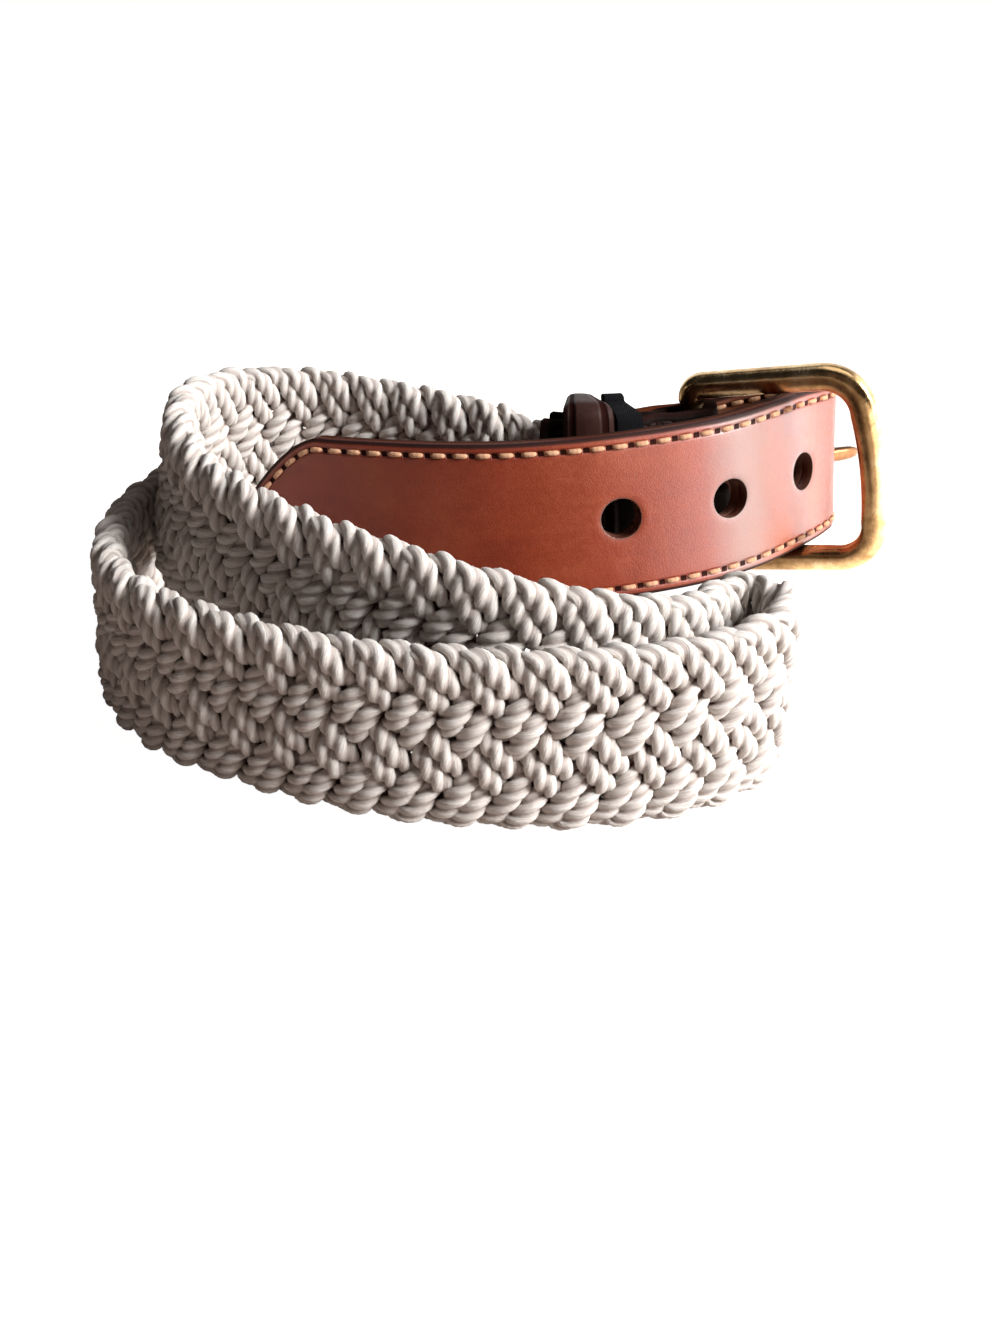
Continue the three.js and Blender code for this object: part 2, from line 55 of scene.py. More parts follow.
# the plait: five strands, each of two cords of three plies
CORD_R = 2.0           # outside radius of a cord
CORD_WAVE = 1.92       # how far a strand swings to either face
ZIGZAG = 49.0          # one strand's way up and down again, along the band
PAIR = 4.55            # the strand's second cord follows this far behind
PLY_PITCH = 10.2       # one turn of the three plies
CORD_STEP = 0.72
CORD_SIDES = 18

# centre line of the band: x, y, z in mm, lean in degrees
ROUTE = [
    ("tip", -58.0, 269.5, 30.2, 8), ("strap_left", -40.0, 261.0, 30.8, 8), ("strap_left_mid", -21.0, 253.6, 32.2, 9),
    ("strap_near", -4.0, 249.6, 33.3, 9), ("strap_mid", 11.0, 248.8, 34.2, 10), ("strap_hole_1", 27.0, 250.4, 35.3, 10),
    ("strap_hole_2", 49.6, 257.4, 36.8, 10), ("strap_hole_3", 67.4, 272.6, 36.8, 10), ("fold_in_buckle", 79.8, 290.0, 34.8, 6),
    ("fold_back", 77.4, 304.0, 31.2, 2), ("behind_buckle", 65.5, 311.0, 26.6, 0), ("strap_back", 49.0, 313.0, 22.0, 0),
    ("strap_end", 30.0, 311.0, 19.4, 0), ("outer_back_1", 8.0, 308.0, 19.0, 0), ("outer_back_2", -17.0, 307.0, 19.0, 0),
    ("outer_back_3", -44.0, 305.5, 19.0, 0), ("outer_back_4", -66.0, 295.5, 19.05, 2), ("outer_left_1", -80.6, 272.0, 19.12, 5),
    ("outer_left_2", -84.6, 248.0, 19.15, 6), ("outer_left_3", -80.6, 227.5, 19.12, 5), ("outer_left_4", -68.2, 210.8, 19.05, 2),
    ("outer_front_1", -49.0, 199.0, 19.0, 0), ("outer_front_2", -28.0, 190.2, 19.0, 0), ("outer_front_3", -6.0, 186.0, 19.0, 0),
    ("outer_front_4", 15.0, 185.6, 19.0, 0), ("outer_front_5", 34.0, 189.6, 19.0, 0), ("outer_right", 47.5, 197.4, 19.0, 0),
    ("fold_1", 53.8, 206.0, 19.0, 0), ("fold_2", 52.6, 213.4, 19.0, 0), ("fold_3", 46.4, 215.6, 19.0, 0),
    ("fold_4", 41.2, 210.4, 19.4, 0), ("inner_right", 36.4, 203.4, 20.4, 0), ("inner_front_1", 26.0, 198.4, 22.6, 0),
    ("inner_front_2", 12.0, 196.4, 25.4, 0), ("inner_front_3", -3.0, 198.4, 28.2, 0), ("inner_front_4", -18.0, 204.0, 30.6, 0),
    ("inner_front_5", -33.0, 211.6, 32.6, 0), ("inner_left_1", -47.0, 220.8, 34.8, 0), ("inner_left_2", -60.0, 231.2, 37.2, -5),
    ("inner_left_3", -68.4, 244.4, 39.8, -10), ("inner_left_4", -72.2, 258.8, 41.4, -12), ("inner_left_5", -70.0, 273.0, 41.2, -9),
    ("inner_back_1", -60.0, 284.0, 39.8, -4), ("inner_back_2", -44.0, 287.4, 38.4, 0), ("inner_back_3", -29.0, 283.6, 37.4, 0),
    ("inner_back_4", -14.0, 276.8, 36.4, 2), ("inner_back_5", 0.0, 270.0, 35.0, 4), ("chape_start", 11.0, 265.4, 34.4, 6),
    ("chape_mid", 23.0, 265.0, 34.4, 7), ("chape_near_bar", 35.0, 271.4, 33.6, 7), ("heel_bar", 47.5, 282.0, 32.7, 6),
]
PTS = np.array([r[1:4] for r in ROUTE], float)
LEAN = np.radians(np.array([r[4] for r in ROUTE], float))

# ------------------------------------------------------------------ camera first
cam_data = bpy.data.cameras.new("camera")
cam = bpy.data.objects.new("camera", cam_data)
bpy.context.collection.objects.link(cam)
cam.location = ((0.0 - ORIGIN[0]) / 1000, (0.0 - ORIGIN[1]) / 1000, 0.1397)
cam.rotation_euler = (math.radians(90 - 29.5), 0, 0)
cam_data.sensor_width = 36.0
cam_data.lens = 1230.0 / 1327.0 * 36.0
cam_data.clip_start, cam_data.clip_end = 0.01, 20.0
bpy.context.scene.camera = cam


# ------------------------------------------------------------------ route maths
def smooth(x):
    t = np.clip(x, 0, 1)
    return t * t * (3 - 2 * t)


def unit(v):
    return v / np.linalg.norm(v, axis=-1, keepdims=True)


def curve_point(t):
    """Centripetal Catmull-Rom through PTS, t from 0 to 1 over the rows."""
    n = len(PTS)
    t = np.clip(np.atleast_1d(t), 0, 1)
    q = t * (n - 1)
    i = np.minimum(q.astype(int), n - 2)
    w = (q - i)[:, None]
    ext = np.vstack([2 * PTS[0] - PTS[1], PTS, 2 * PTS[-1] - PTS[-2]])
    p0, p1, p2, p3 = ext[i], ext[i + 1], ext[i + 2], ext[i + 3]
    d = lambda a, b: (((a - b) ** 2).sum(1) ** 0.25)[:, None]
    a, b, c = d(p0, p1), d(p1, p2), d(p2, p3)
    t1 = ((p1 - p0) / a - (p2 - p0) / (a + b) + (p2 - p1) / b) * b
    t2 = ((p2 - p1) / b - (p3 - p1) / (b + c) + (p3 - p2) / c) * b
    return p1 + t1 * w + (-3 * p1 + 3 * p2 - 2 * t1 - t2) * w ** 2 + (2 * p1 - 2 * p2 + t1 + t2) * w ** 3


TT = np.linspace(0, 1, 6001)
CP = curve_point(TT)
LENGTHS = np.concatenate([[0], np.cumsum(np.linalg.norm(np.diff(CP, axis=0), axis=1))])
TOTAL = LENGTHS[-1]
ROW_S = np.interp(np.arange(len(PTS)) / (len(PTS) - 1), TT, LENGTHS)
HEEL_S = TOTAL
BRAID_STOP = HEEL_S - CHAPE_BRAID
CHAPE_START = HEEL_S - CHAPE_LENGTH


def band(s):
    """Position, travel, side and height axes of the band at lengths s."""
    s = np.atleast_1d(np.asarray(s, float))
    shape = s.shape
    s = s.ravel()
    t = np.interp(s, LENGTHS, TT)
    p = curve_point(t)
    over = np.where(s > TOTAL, s - TOTAL, np.where(s < 0, s, 0))
    p[:, 2] = np.where(s > STRAP_END, np.maximum(p[:, 2], BRAID_H / 2), p[:, 2])
    d = 2e-4
    tan = unit(curve_point(np.clip(t + d, 0, 1)) - curve_point(np.clip(t - d, 0, 1)))
    p = p + tan * over[:, None]
    n0 = unit(np.cross(np.array([0, 0, 1.0]), tan))
    h0 = unit(np.cross(tan, n0))
    i = np.clip(np.searchsorted(ROW_S, s, side="right") - 1, 0, len(PTS) - 2)
    e = smooth((s - ROW_S[i]) / (ROW_S[i + 1] - ROW_S[i]))
    a = (LEAN[i] + (LEAN[i + 1] - LEAN[i]) * e)[:, None]
    h = h0 * np.cos(a) + n0 * np.sin(a)
    n = n0 * np.cos(a) - h0 * np.sin(a)
    return p, tan, n, h


def buckle_axes():
    y, l, r = (math.radians(FRAME_POSE[k]) for k in ("yaw", "lean", "roll"))
    u = np.array([math.cos(y), math.sin(y), 0]); n = np.array([-math.sin(y), math.cos(y), 0])
    v = np.array([0, 0, 1.0]) * math.cos(l) + n * math.sin(l)
    u3 = u * math.cos(r) + v * math.sin(r)
    v3 = -u * math.sin(r) + v * math.cos(r)
    return np.array([FRAME_POSE[k] for k in "xyz"]), u3, v3, -np.cross(u3, v3)


BC, BU, BV, BW = buckle_axes()
HEEL_A = -(FRAME_L / 2 - BAR_W / 2)
HEEL = BC + BU * HEEL_A


def on_frame(a, b, c):
    return BC + np.multiply.outer(a, BU) + np.multiply.outer(b, BV) + np.multiply.outer(c, BW)


def chape_band(s):
    """As band, with the height axis turning to follow the heel bar."""
    s = np.atleast_1d(np.asarray(s, float)).ravel()
    p, t, n, h = band(np.minimum(s, TOTAL - 0.01))
    e = smooth((s - CHAPE_START) / (CHAPE_LENGTH - 8))[:, None]
    h2 = unit(h + (BV - h) * e)
    n2 = unit(np.cross(h2, t))
    return p, t, n2, h2


def put(s, a, b, at=band):
    """Points at length s, a to the side, b up."""
    s, a, b = np.broadcast_arrays(np.asarray(s, float), np.asarray(a, float), np.asarray(b, float))
    p, t, n, h = at(s.ravel())
    return (p + n * a.ravel()[:, None] + h * b.ravel()[:, None]).reshape(s.shape + (3,))


# ------------------------------------------------------------------ mesh helpers
def make_mesh(name, verts_mm, faces, attrs=None, shade=True):
    v = (np.asarray(verts_mm, float).reshape(-1, 3) - ORIGIN) / 1000
    me = bpy.data.meshes.new(name)
    if isinstance(faces, np.ndarray):
        k = faces.shape[1]
        me.vertices.add(len(v)); me.vertices.foreach_set("co", v.astype(np.float32).ravel())
        me.loops.add(faces.size); me.loops.foreach_set("vertex_index", faces.astype(np.int32).ravel())
        me.polygons.add(len(faces)); me.polygons.foreach_set("loop_start", np.arange(0, faces.size, k, dtype=np.int32))
        me.update(calc_edges=True)
    else:
        me.from_pydata([tuple(x) for x in v], [], [tuple(int(i) for i in f) for f in faces])
    me.validate(clean_customdata=False)
    for key, arr in (attrs or {}).items():
        arr = np.asarray(arr, np.float32)
        if arr.ndim == 1:
            at = me.attributes.new(key, "FLOAT", "POINT"); at.data.foreach_set("value", arr)
        else:
            at = me.attributes.new(key, "FLOAT_VECTOR", "POINT"); at.data.foreach_set("vector", arr.ravel())
    if shade:
        me.polygons.foreach_set("use_smooth", np.ones(len(me.polygons), bool))
    me.update()
    ob = bpy.data.objects.new(name, me)
    bpy.context.collection.objects.link(ob)
    return ob


def outward(ob):
    import bmesh
    bm = bmesh.new(); bm.from_mesh(ob.data)
    bmesh.ops.recalc_face_normals(bm, faces=bm.faces)
    bm.to_mesh(ob.data); bm.free()
    return ob


def soften(ob, width_mm, segments=2, angle=40):
    """Round the sharp edges with a bevel that is applied to the mesh."""
    m = ob.modifiers.new("edges", "BEVEL")
    m.width = width_mm / 1000; m.segments = segments
    m.limit_method = "ANGLE"; m.angle_limit = math.radians(angle)
    m.harden_normals = False
    return apply_mods(ob)


def apply_mods(ob):
    dg = bpy.context.evaluated_depsgraph_get()
    me = bpy.data.meshes.new_from_object(ob.evaluated_get(dg), preserve_all_data_layers=True, depsgraph=dg)
    ob.modifiers.clear()
    old = ob.data
    ob.data = me
    bpy.data.meshes.remove(old)
    return ob


def grid_faces(m, n, close_n=False, close_m=False):
    i = np.arange(m if close_m else m - 1)[:, None]
    j = np.arange(n if close_n else n - 1)[None, :]
    i2, j2 = (i + 1) % m, (j + 1) % n
    q = np.stack(np.broadcast_arrays(i * n + j, i * n + j2, i2 * n + j2, i2 * n + j), -1)
    return q.reshape(-1, 4)


def plate(name, uv, quads, outer, inner, attrs):
    """Closed sheet of some thickness from a flat mesh: outer and inner give each flat point's place."""
    nv = len(uv)
    quads = np.asarray(quads)
    edges = {}
    for f in quads:
        for a, b in zip(f, np.roll(f, -1)):
            if (b, a) in edges:
                del edges[(b, a)]
            else:
                edges[(a, b)] = True
    walls = np.array([[a, b, b + nv, a + nv] for a, b in edges])
    faces = np.vstack([quads[:, ::-1], quads + nv, walls])
    at = {k: np.concatenate([v, v]) for k, v in attrs.items()}
    at["inner"] = np.concatenate([np.zeros(nv), np.ones(nv)])
    ob = make_mesh(name, np.concatenate([outer, inner]), faces, at)
    return outward(ob)


# ------------------------------------------------------------------ materials
def new_mat(name):
    m = bpy.data.materials.new(name)
    m.use_nodes = True
    nt = m.node_tree
    bsdf = next(n for n in nt.nodes if n.type == "BSDF_PRINCIPLED")
    return m, nt, bsdf


class Net:
    """Short hand for building a node tree."""
    def __init__(self, nt):
        self.nt = nt

    def n(self, kind, **kw):
        x = self.nt.nodes.new(kind)
        for k, v in kw.items():
            setattr(x, k, v)
        return x

    def put(self, sock, v):
        if isinstance(v, bpy.types.NodeSocket):
            self.nt.links.new(v, sock)
        else:
            sock.default_value = v

    def math(self, op, a, b=None, c=None, clamp=False):
        x = self.n("ShaderNodeMath", operation=op, use_clamp=clamp)
        for i, v in enumerate((a, b, c)):
            if v is not None:
                self.put(x.inputs[i], v)
        return x.outputs[0]

    def attr(self, name, out="Fac"):
        return self.n("ShaderNodeAttribute", attribute_name=name).outputs[out]

    def noise(self, vec, scale, detail=3.0, rough=0.55, out="Fac"):
        x = self.n("ShaderNodeTexNoise")
        if vec is not None:
            self.put(x.inputs["Vector"], vec)
        x.inputs["Scale"].default_value = scale
        x.inputs["Detail"].default_value = detail
        x.inputs["Roughness"].default_value = rough
        return x.outputs[out]

    def ramp(self, fac, stops, interp="LINEAR"):
        x = self.n("ShaderNodeValToRGB")
        x.color_ramp.interpolation = interp
        el = x.color_ramp.elements
        while len(el) < len(stops):
            el.new(0.5)
        for e, (p, c) in zip(el, stops):
            e.position = p
            e.color = (c, c, c, 1) if isinstance(c, (int, float)) else (*c, 1)
        self.put(x.inputs[0], fac)
        return x.outputs[0]

    def mix(self, fac, a, b, blend="MIX"):
        x = self.n("ShaderNodeMix", data_type="RGBA", blend_type=blend)
        self.put(x.inputs[0], fac)
        ia, ib = [s for s in x.inputs if s.type == "RGBA"][:2]
        self.put(ia, a if isinstance(a, bpy.types.NodeSocket) else (*a, 1))
        self.put(ib, b if isinstance(b, bpy.types.NodeSocket) else (*b, 1))
        return [s for s in x.outputs if s.type == "RGBA"][0]

    def vec(self, x, y, z):
        c = self.n("ShaderNodeCombineXYZ")
        for i, v in enumerate((x, y, z)):
            self.put(c.inputs[i], v)
        return c.outputs[0]

    def bump(self, height, strength, dist_mm, normal=None):
        b = self.n("ShaderNodeBump")
        b.inputs["Strength"].default_value = strength
        b.inputs["Distance"].default_value = dist_mm / 1000
        self.put(b.inputs["Height"], height)
        if normal is not None:
            self.put(b.inputs["Normal"], normal)
        return b.outputs[0]

    def coords(self):
        return self.n("ShaderNodeTexCoord").outputs["Object"]


def cotton_material():
    m, nt, b = new_mat("cotton")
    k = Net(nt)
    fib = k.attr("fib", "Vector")           # along and round the cord, mm
    groove_shade = k.attr("groove_shade")                   # 1 in the groove between the plies
    tuck_shade = k.attr("tuck_shade")                   # 1 where the cord dives under another
    obj = k.coords()
    yarn = k.noise(fib, 1.0, 4, 0.6)
    fine = k.noise(fib, 3.2, 3, 0.7)
    patch = k.noise(obj, 55.0, 3, 0.55)
    col = k.ramp(k.math("ADD", k.math("MULTIPLY", yarn, 0.62), k.math("MULTIPLY", fine, 0.38)),
                 [(0.28, (0.54, 0.455, 0.405)), (0.48, (0.77, 0.715, 0.665)), (0.66, (0.93, 0.915, 0.895))])
    col = k.mix(k.math("MULTIPLY", patch, 0.22), col, (0.72, 0.62, 0.54), "MULTIPLY")
    # painted shade: the grooves between the plies and the cord where it dives under another are darkened to a warm
    # brown
    dark = k.math("ADD", k.math("MULTIPLY", groove_shade, 0.52), k.math("MULTIPLY", tuck_shade, 0.64), clamp=True)
    col = k.mix(dark, col, (0.165, 0.085, 0.066))
    k.put(b.inputs["Base Color"], col)
    b.inputs["Roughness"].default_value = 0.92
    b.inputs["Specular IOR Level"].default_value = 0.18
    b.inputs["Sheen Weight"].default_value = 0.15
    b.inputs["Sheen Roughness"].default_value = 0.5
    h = k.math("ADD", k.math("MULTIPLY", yarn, 0.7), k.math("MULTIPLY", fine, 0.5))
    k.put(b.inputs["Normal"], k.bump(h, 0.85, 0.42))
    return m


def leather_material(name, light, mid, dark, stitch, rough=0.42, gloss=0.25, spec=0.5, painted_bend_sheen=0.0):
    m, nt, b = new_mat(name)
    k = Net(nt)
    obj = k.coords()
    edge = k.attr("edge")                   # mm from the cut edge
    run = k.attr("run")                     # mm along the stitch line
    hole = k.attr("hole")                   # mm from the nearest punched hole
    inner = k.attr("inner")
    big = k.noise(obj, 26.0, 4, 0.6)
    streak = k.noise(k.vec(k.math("MULTIPLY", k.attr("long"), 0.05), k.math("MULTIPLY", k.attr("across"), 0.35), 0.0), 1.0, 4, 0.6)
    tone = k.math("ADD", k.math("MULTIPLY", big, 0.82), k.math("MULTIPLY", streak, 0.18))
    col = k.ramp(tone, [(0.30, dark), (0.50, mid), (0.70, light)])
    pores = k.n("ShaderNodeTexVoronoi", feature="DISTANCE_TO_EDGE")
    k.put(pores.inputs["Vector"], obj); pores.inputs["Scale"].default_value = 1500.0
    cell = pores.outputs["Distance"]
    fine = k.noise(obj, 900.0, 4, 0.65)
    col = k.mix(k.math("MULTIPLY", k.ramp(fine, [(0.35, 1.0), (0.6, 0.0)]), 0.22), col, dark)
    # painted sheen: a pale pink band from about 106 to 140 mm along the strap stands in for a broad highlight
    if painted_bend_sheen:
        at_bend = k.math("ADD", k.math("MULTIPLY", k.attr("long"), 0.005), k.math("MULTIPLY", k.math("SUBTRACT", big, 0.5), 0.04))
        col = k.mix(k.ramp(at_bend, [(0.53, 0.0), (0.575, painted_bend_sheen), (0.60, painted_bend_sheen), (0.66, painted_bend_sheen * 0.15), (0.70, 0.0)]), col, (0.20, 0.130, 0.108))
    # dressed edge, darker towards the cut
    rim = k.ramp(k.math("ADD", edge, k.math("MULTIPLY", k.math("SUBTRACT", big, 0.5), 0.8)), [(0.0, 1.0), (0.55, 0.9), (0.95, 0.12), (1.0, 0.0)])
    col = k.mix(rim, col, (0.016, 0.007, 0.006))
    # burnished ring round the holes, dark inside them
    ring = k.ramp(k.math("MULTIPLY", hole, 0.4), [(0.0, 1.0), (0.05, 0.8), (0.14, 0.12), (0.5, 0.0)])
    col = k.mix(ring, col, (0.085, 0.030, 0.016))
    # crease and awl holes of the stitch line; the awl holes are painted near-black, painted shade in the holes
    line = k.math("ABSOLUTE", k.math("SUBTRACT", edge, stitch["inset"]))
    near = k.ramp(line, [(0.0, 1.0), (0.55, 0.55), (0.95, 0.0)])
    ph = k.math("ABSOLUTE", k.math("SUBTRACT", k.math("FRACT", k.math("DIVIDE", run, stitch["pitch"])), 0.5))
    awl = k.math("MULTIPLY", k.ramp(line, [(0.0, 1.0), (0.45, 1.0), (0.66, 0.0)]), k.ramp(ph, [(0.35, 0.0), (0.385, 1.0)]))
    col = k.mix(k.math("MULTIPLY", near, 0.35), col, dark)
    col = k.mix(k.math("MULTIPLY", awl, 0.96), col, (0.014, 0.004, 0.003))
    col = k.mix(k.math("MULTIPLY", inner, 0.55), col, dark)
    # darker colour beyond about 142 mm along the strap
    if painted_bend_sheen:
        col = k.mix(k.ramp(k.math("MULTIPLY", k.attr("long"), 0.005), [(0.71, 0.0), (0.765, 0.55)]), col, (0.12, 0.034, 0.013))
    k.put(b.inputs["Base Color"], col)
    rg = k.ramp(k.math("ADD", k.math("MULTIPLY", fine, 0.5), k.math("MULTIPLY", big, 0.5)), [(0.3, rough - 0.07), (0.7, rough + 0.13)])
    k.put(b.inputs["Roughness"], k.math("ADD", rg, k.math("MULTIPLY", rim, 0.3), clamp=True))
    bare = k.math("MULTIPLY", k.math("SUBTRACT", 1.0, k.math("MULTIPLY", rim, 0.85)), k.math("SUBTRACT", 1.0, k.math("MULTIPLY", awl, 0.95)))
    if painted_bend_sheen:
        # past the bend the grain is duller
        bare = k.math("MULTIPLY", bare, k.math("SUBTRACT", 1.0, k.math("MULTIPLY", k.ramp(k.math("MULTIPLY", k.attr("long"), 0.005), [(0.70, 0.0), (0.76, 1.0)]), 0.85)))
    k.put(b.inputs["Specular IOR Level"], k.math("MULTIPLY", bare, spec))
    k.put(b.inputs["Coat Weight"], k.math("MULTIPLY", bare, gloss))
    b.inputs["Coat Roughness"].default_value = 0.35
    h = k.math("ADD", k.math("MULTIPLY", k.ramp(cell, [(0.0, 0.0), (0.18, 1.0)]), 0.35), k.math("MULTIPLY", fine, 0.75))
    n1 = k.bump(h, 0.42, 0.10)
    n2 = k.bump(k.math("ADD", near, awl), 0.8, -0.35, n1)
    n3 = k.bump(big, 0.5, 0.8, n2)
    k.put(b.inputs["Normal"], n3)
    return m


def brass_material(name, lo, mid_tone, hi):
    m, nt, b = new_mat(name)
    k = Net(nt)
    obj = k.coords()
    big = k.noise(obj, 70.0, 5, 0.6)
    mid = k.noise(obj, 260.0, 4, 0.6)
    fine = k.noise(obj, 1400.0, 3, 0.6)
    col = k.ramp(k.math("ADD", k.math("MULTIPLY", big, 0.65), k.math("MULTIPLY", mid, 0.35)),
                 [(0.33, lo), (0.50, mid_tone), (0.68, hi)])
    col = k.mix(k.ramp(fine, [(0.55, 0.0), (0.75, 0.35)]), col, (0.15, 0.09, 0.035))
    k.put(b.inputs["Base Color"], col)
    b.inputs["Metallic"].default_value = 1.0
    k.put(b.inputs["Roughness"], k.ramp(k.math("ADD", k.math("MULTIPLY", mid, 0.6), k.math("MULTIPLY", fine, 0.4)), [(0.35, 0.15), (0.7, 0.30)]))
    h = k.math("ADD", k.math("MULTIPLY", mid, 1.0), k.math("MULTIPLY", fine, 0.25))
    k.put(b.inputs["Normal"], k.bump(h, 0.35, 0.25))
    return m


def thread_material(name, lo, mid, hi):
    m, nt, b = new_mat(name)
    k = Net(nt)
    fib = k.attr("fib", "Vector")
    x = k.noise(fib, 1.0, 3, 0.6)
    w = k.n("ShaderNodeTexWave", wave_type="BANDS", bands_direction="X")
    k.put(w.inputs["Vector"], fib); w.inputs["Scale"].default_value = 0.30
    col = k.ramp(k.math("ADD", k.math("MULTIPLY", x, 0.8), k.math("MULTIPLY", w.outputs["Fac"], 0.2)),
                 [(0.1, lo), (0.45, mid), (0.8, hi)])
    k.put(b.inputs["Base Color"], col)
    b.inputs["Roughness"].default_value = 0.75
    b.inputs["Sheen Weight"].default_value = 0.0
    b.inputs["Specular IOR Level"].default_value = 0.1
    k.put(b.inputs["Normal"], k.bump(k.math("ADD", k.math("MULTIPLY", w.outputs["Fac"], 0.5), x), 0.35, 0.08))
    return m


def tape_material():
    m, nt, b = new_mat("black_tape")
    k = Net(nt)
    obj = k.coords()
    st = k.n("ShaderNodeTexWave", wave_type="BANDS", bands_direction="Z")
    k.put(st.inputs["Vector"], obj); st.inputs["Scale"].default_value = 700.0
    st2 = k.n("ShaderNodeTexWave", wave_type="BANDS", bands_direction="X")
    k.put(st2.inputs["Vector"], obj); st2.inputs["Scale"].default_value = 700.0
    wv = k.math("MULTIPLY", st.outputs["Fac"], st2.outputs["Fac"])
    fuzz = k.noise(obj, 900.0, 4, 0.6)
    col = k.ramp(k.math("ADD", k.math("MULTIPLY", wv, 0.6), k.math("MULTIPLY", fuzz, 0.4)), [(0.2, (0.0015, 0.0015, 0.002)), (0.8, (0.0050, 0.0050, 0.0065))])
    k.put(b.inputs["Base Color"], col)
    b.inputs["Roughness"].default_value = 0.9
    b.inputs["Specular IOR Level"].default_value = 0.08
    k.put(b.inputs["Normal"], k.bump(wv, 0.8, 0.2))
    return m


COTTON = cotton_material()
STITCH = dict(inset=2.35, pitch=4.9)
TAN = leather_material("leather_tan_face", (0.325, 0.064, 0.018), (0.240, 0.033, 0.0090), (0.150, 0.016, 0.0050), STITCH, 0.42, 0.15, 0.6, 0.6)
TAN_BACK = leather_material("leather_tan_back", (0.34, 0.13, 0.065), (0.24, 0.082, 0.040), (0.13, 0.042, 0.022), STITCH, 0.6, 0.0, 0.3)
# painted shade: the chape's leather is coloured near-black for the shade it sits in
CHAPE_PAINTED_SHADE = leather_material("leather_chape_painted_shade", (0.020, 0.008, 0.006), (0.010, 0.005, 0.004), (0.005, 0.003, 0.002), STITCH, 0.7, 0.0, 0.06)
# painted shade: the keeper's leather is coloured near-black brown for the shade it sits in
KEEPER_PAINTED_SHADE = leather_material("leather_keeper_painted_shade", (0.048, 0.017, 0.012), (0.025, 0.009, 0.007), (0.011, 0.005, 0.004), STITCH, 0.50, 0.0, 0.10)
BRASS = brass_material("brass", (0.20, 0.105, 0.038), (0.56, 0.355, 0.165), (0.82, 0.63, 0.37))
# painted shade: the prong's brass is darkened for the shade it lies in
BRASS_PRONG_PAINTED_SHADE = brass_material("brass_prong_painted_shade", (0.07, 0.028, 0.012), (0.17, 0.075, 0.032), (0.30, 0.15, 0.065))
THREAD = thread_material("thread", (0.42, 0.20, 0.10), (0.55, 0.30, 0.175), (0.64, 0.40, 0.27))
# painted shade: the chape's stitches use a near-black thread for the shade they sit in
THREAD_PAINTED_SHADE = thread_material("thread_painted_shade", (0.010, 0.005, 0.004), (0.014, 0.007, 0.005), (0.020, 0.010, 0.008))
TAPE = tape_material()


def finish_piece(ob, mat, slot, *nodes):
    ob.data.materials.clear()
    ob.data.materials.append(mat)
    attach(ob, "root")
    if nodes:
        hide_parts(*nodes)
    return ob


# ------------------------------------------------------------------ plait
def zig(phi):
    """Rounded zigzag, -1 to 1, starting at -1 and rising."""
    k = 0.955
    return -(2 / math.pi) * np.arcsin(k * np.cos(2 * math.pi * phi)) / ((2 / math.pi) * math.asin(k))


def swing(phi):
    """-1 to 1: which face the cord is on. Over at the first crossing, then under and over by turns."""
    p = np.mod(phi, 1.0)
    q = np.where(p < 0.5, p, p - 0.5)                  # both halves alike
    mid = 2 * math.pi * (q - 0.1) / 0.2
    c, s = np.cos(mid), np.sin(mid)
    inside = c / np.sqrt(c * c + 0.36 * s * s)
    # round the edge, from under to over
    r = np.where(q > 0.4, q - 0.4, q + 0.1)            # 0 to 0.2
    turn = -np.cos(math.pi * np.clip(r / 0.2, 0, 1))
    return np.where((q >= 0.1) & (q <= 0.4), inside, turn)


def braid_scale(s):
    d = np.minimum(s - STRAP_END, CHAPE_START - s) / BRAID_TAPER
    e = smooth(d)
    return (BRAID_END_H + (BRAID_H - BRAID_END_H) * e) / BRAID_H, (BRAID_END_T + (BRAID_T - BRAID_END_T) * e) / BRAID_T


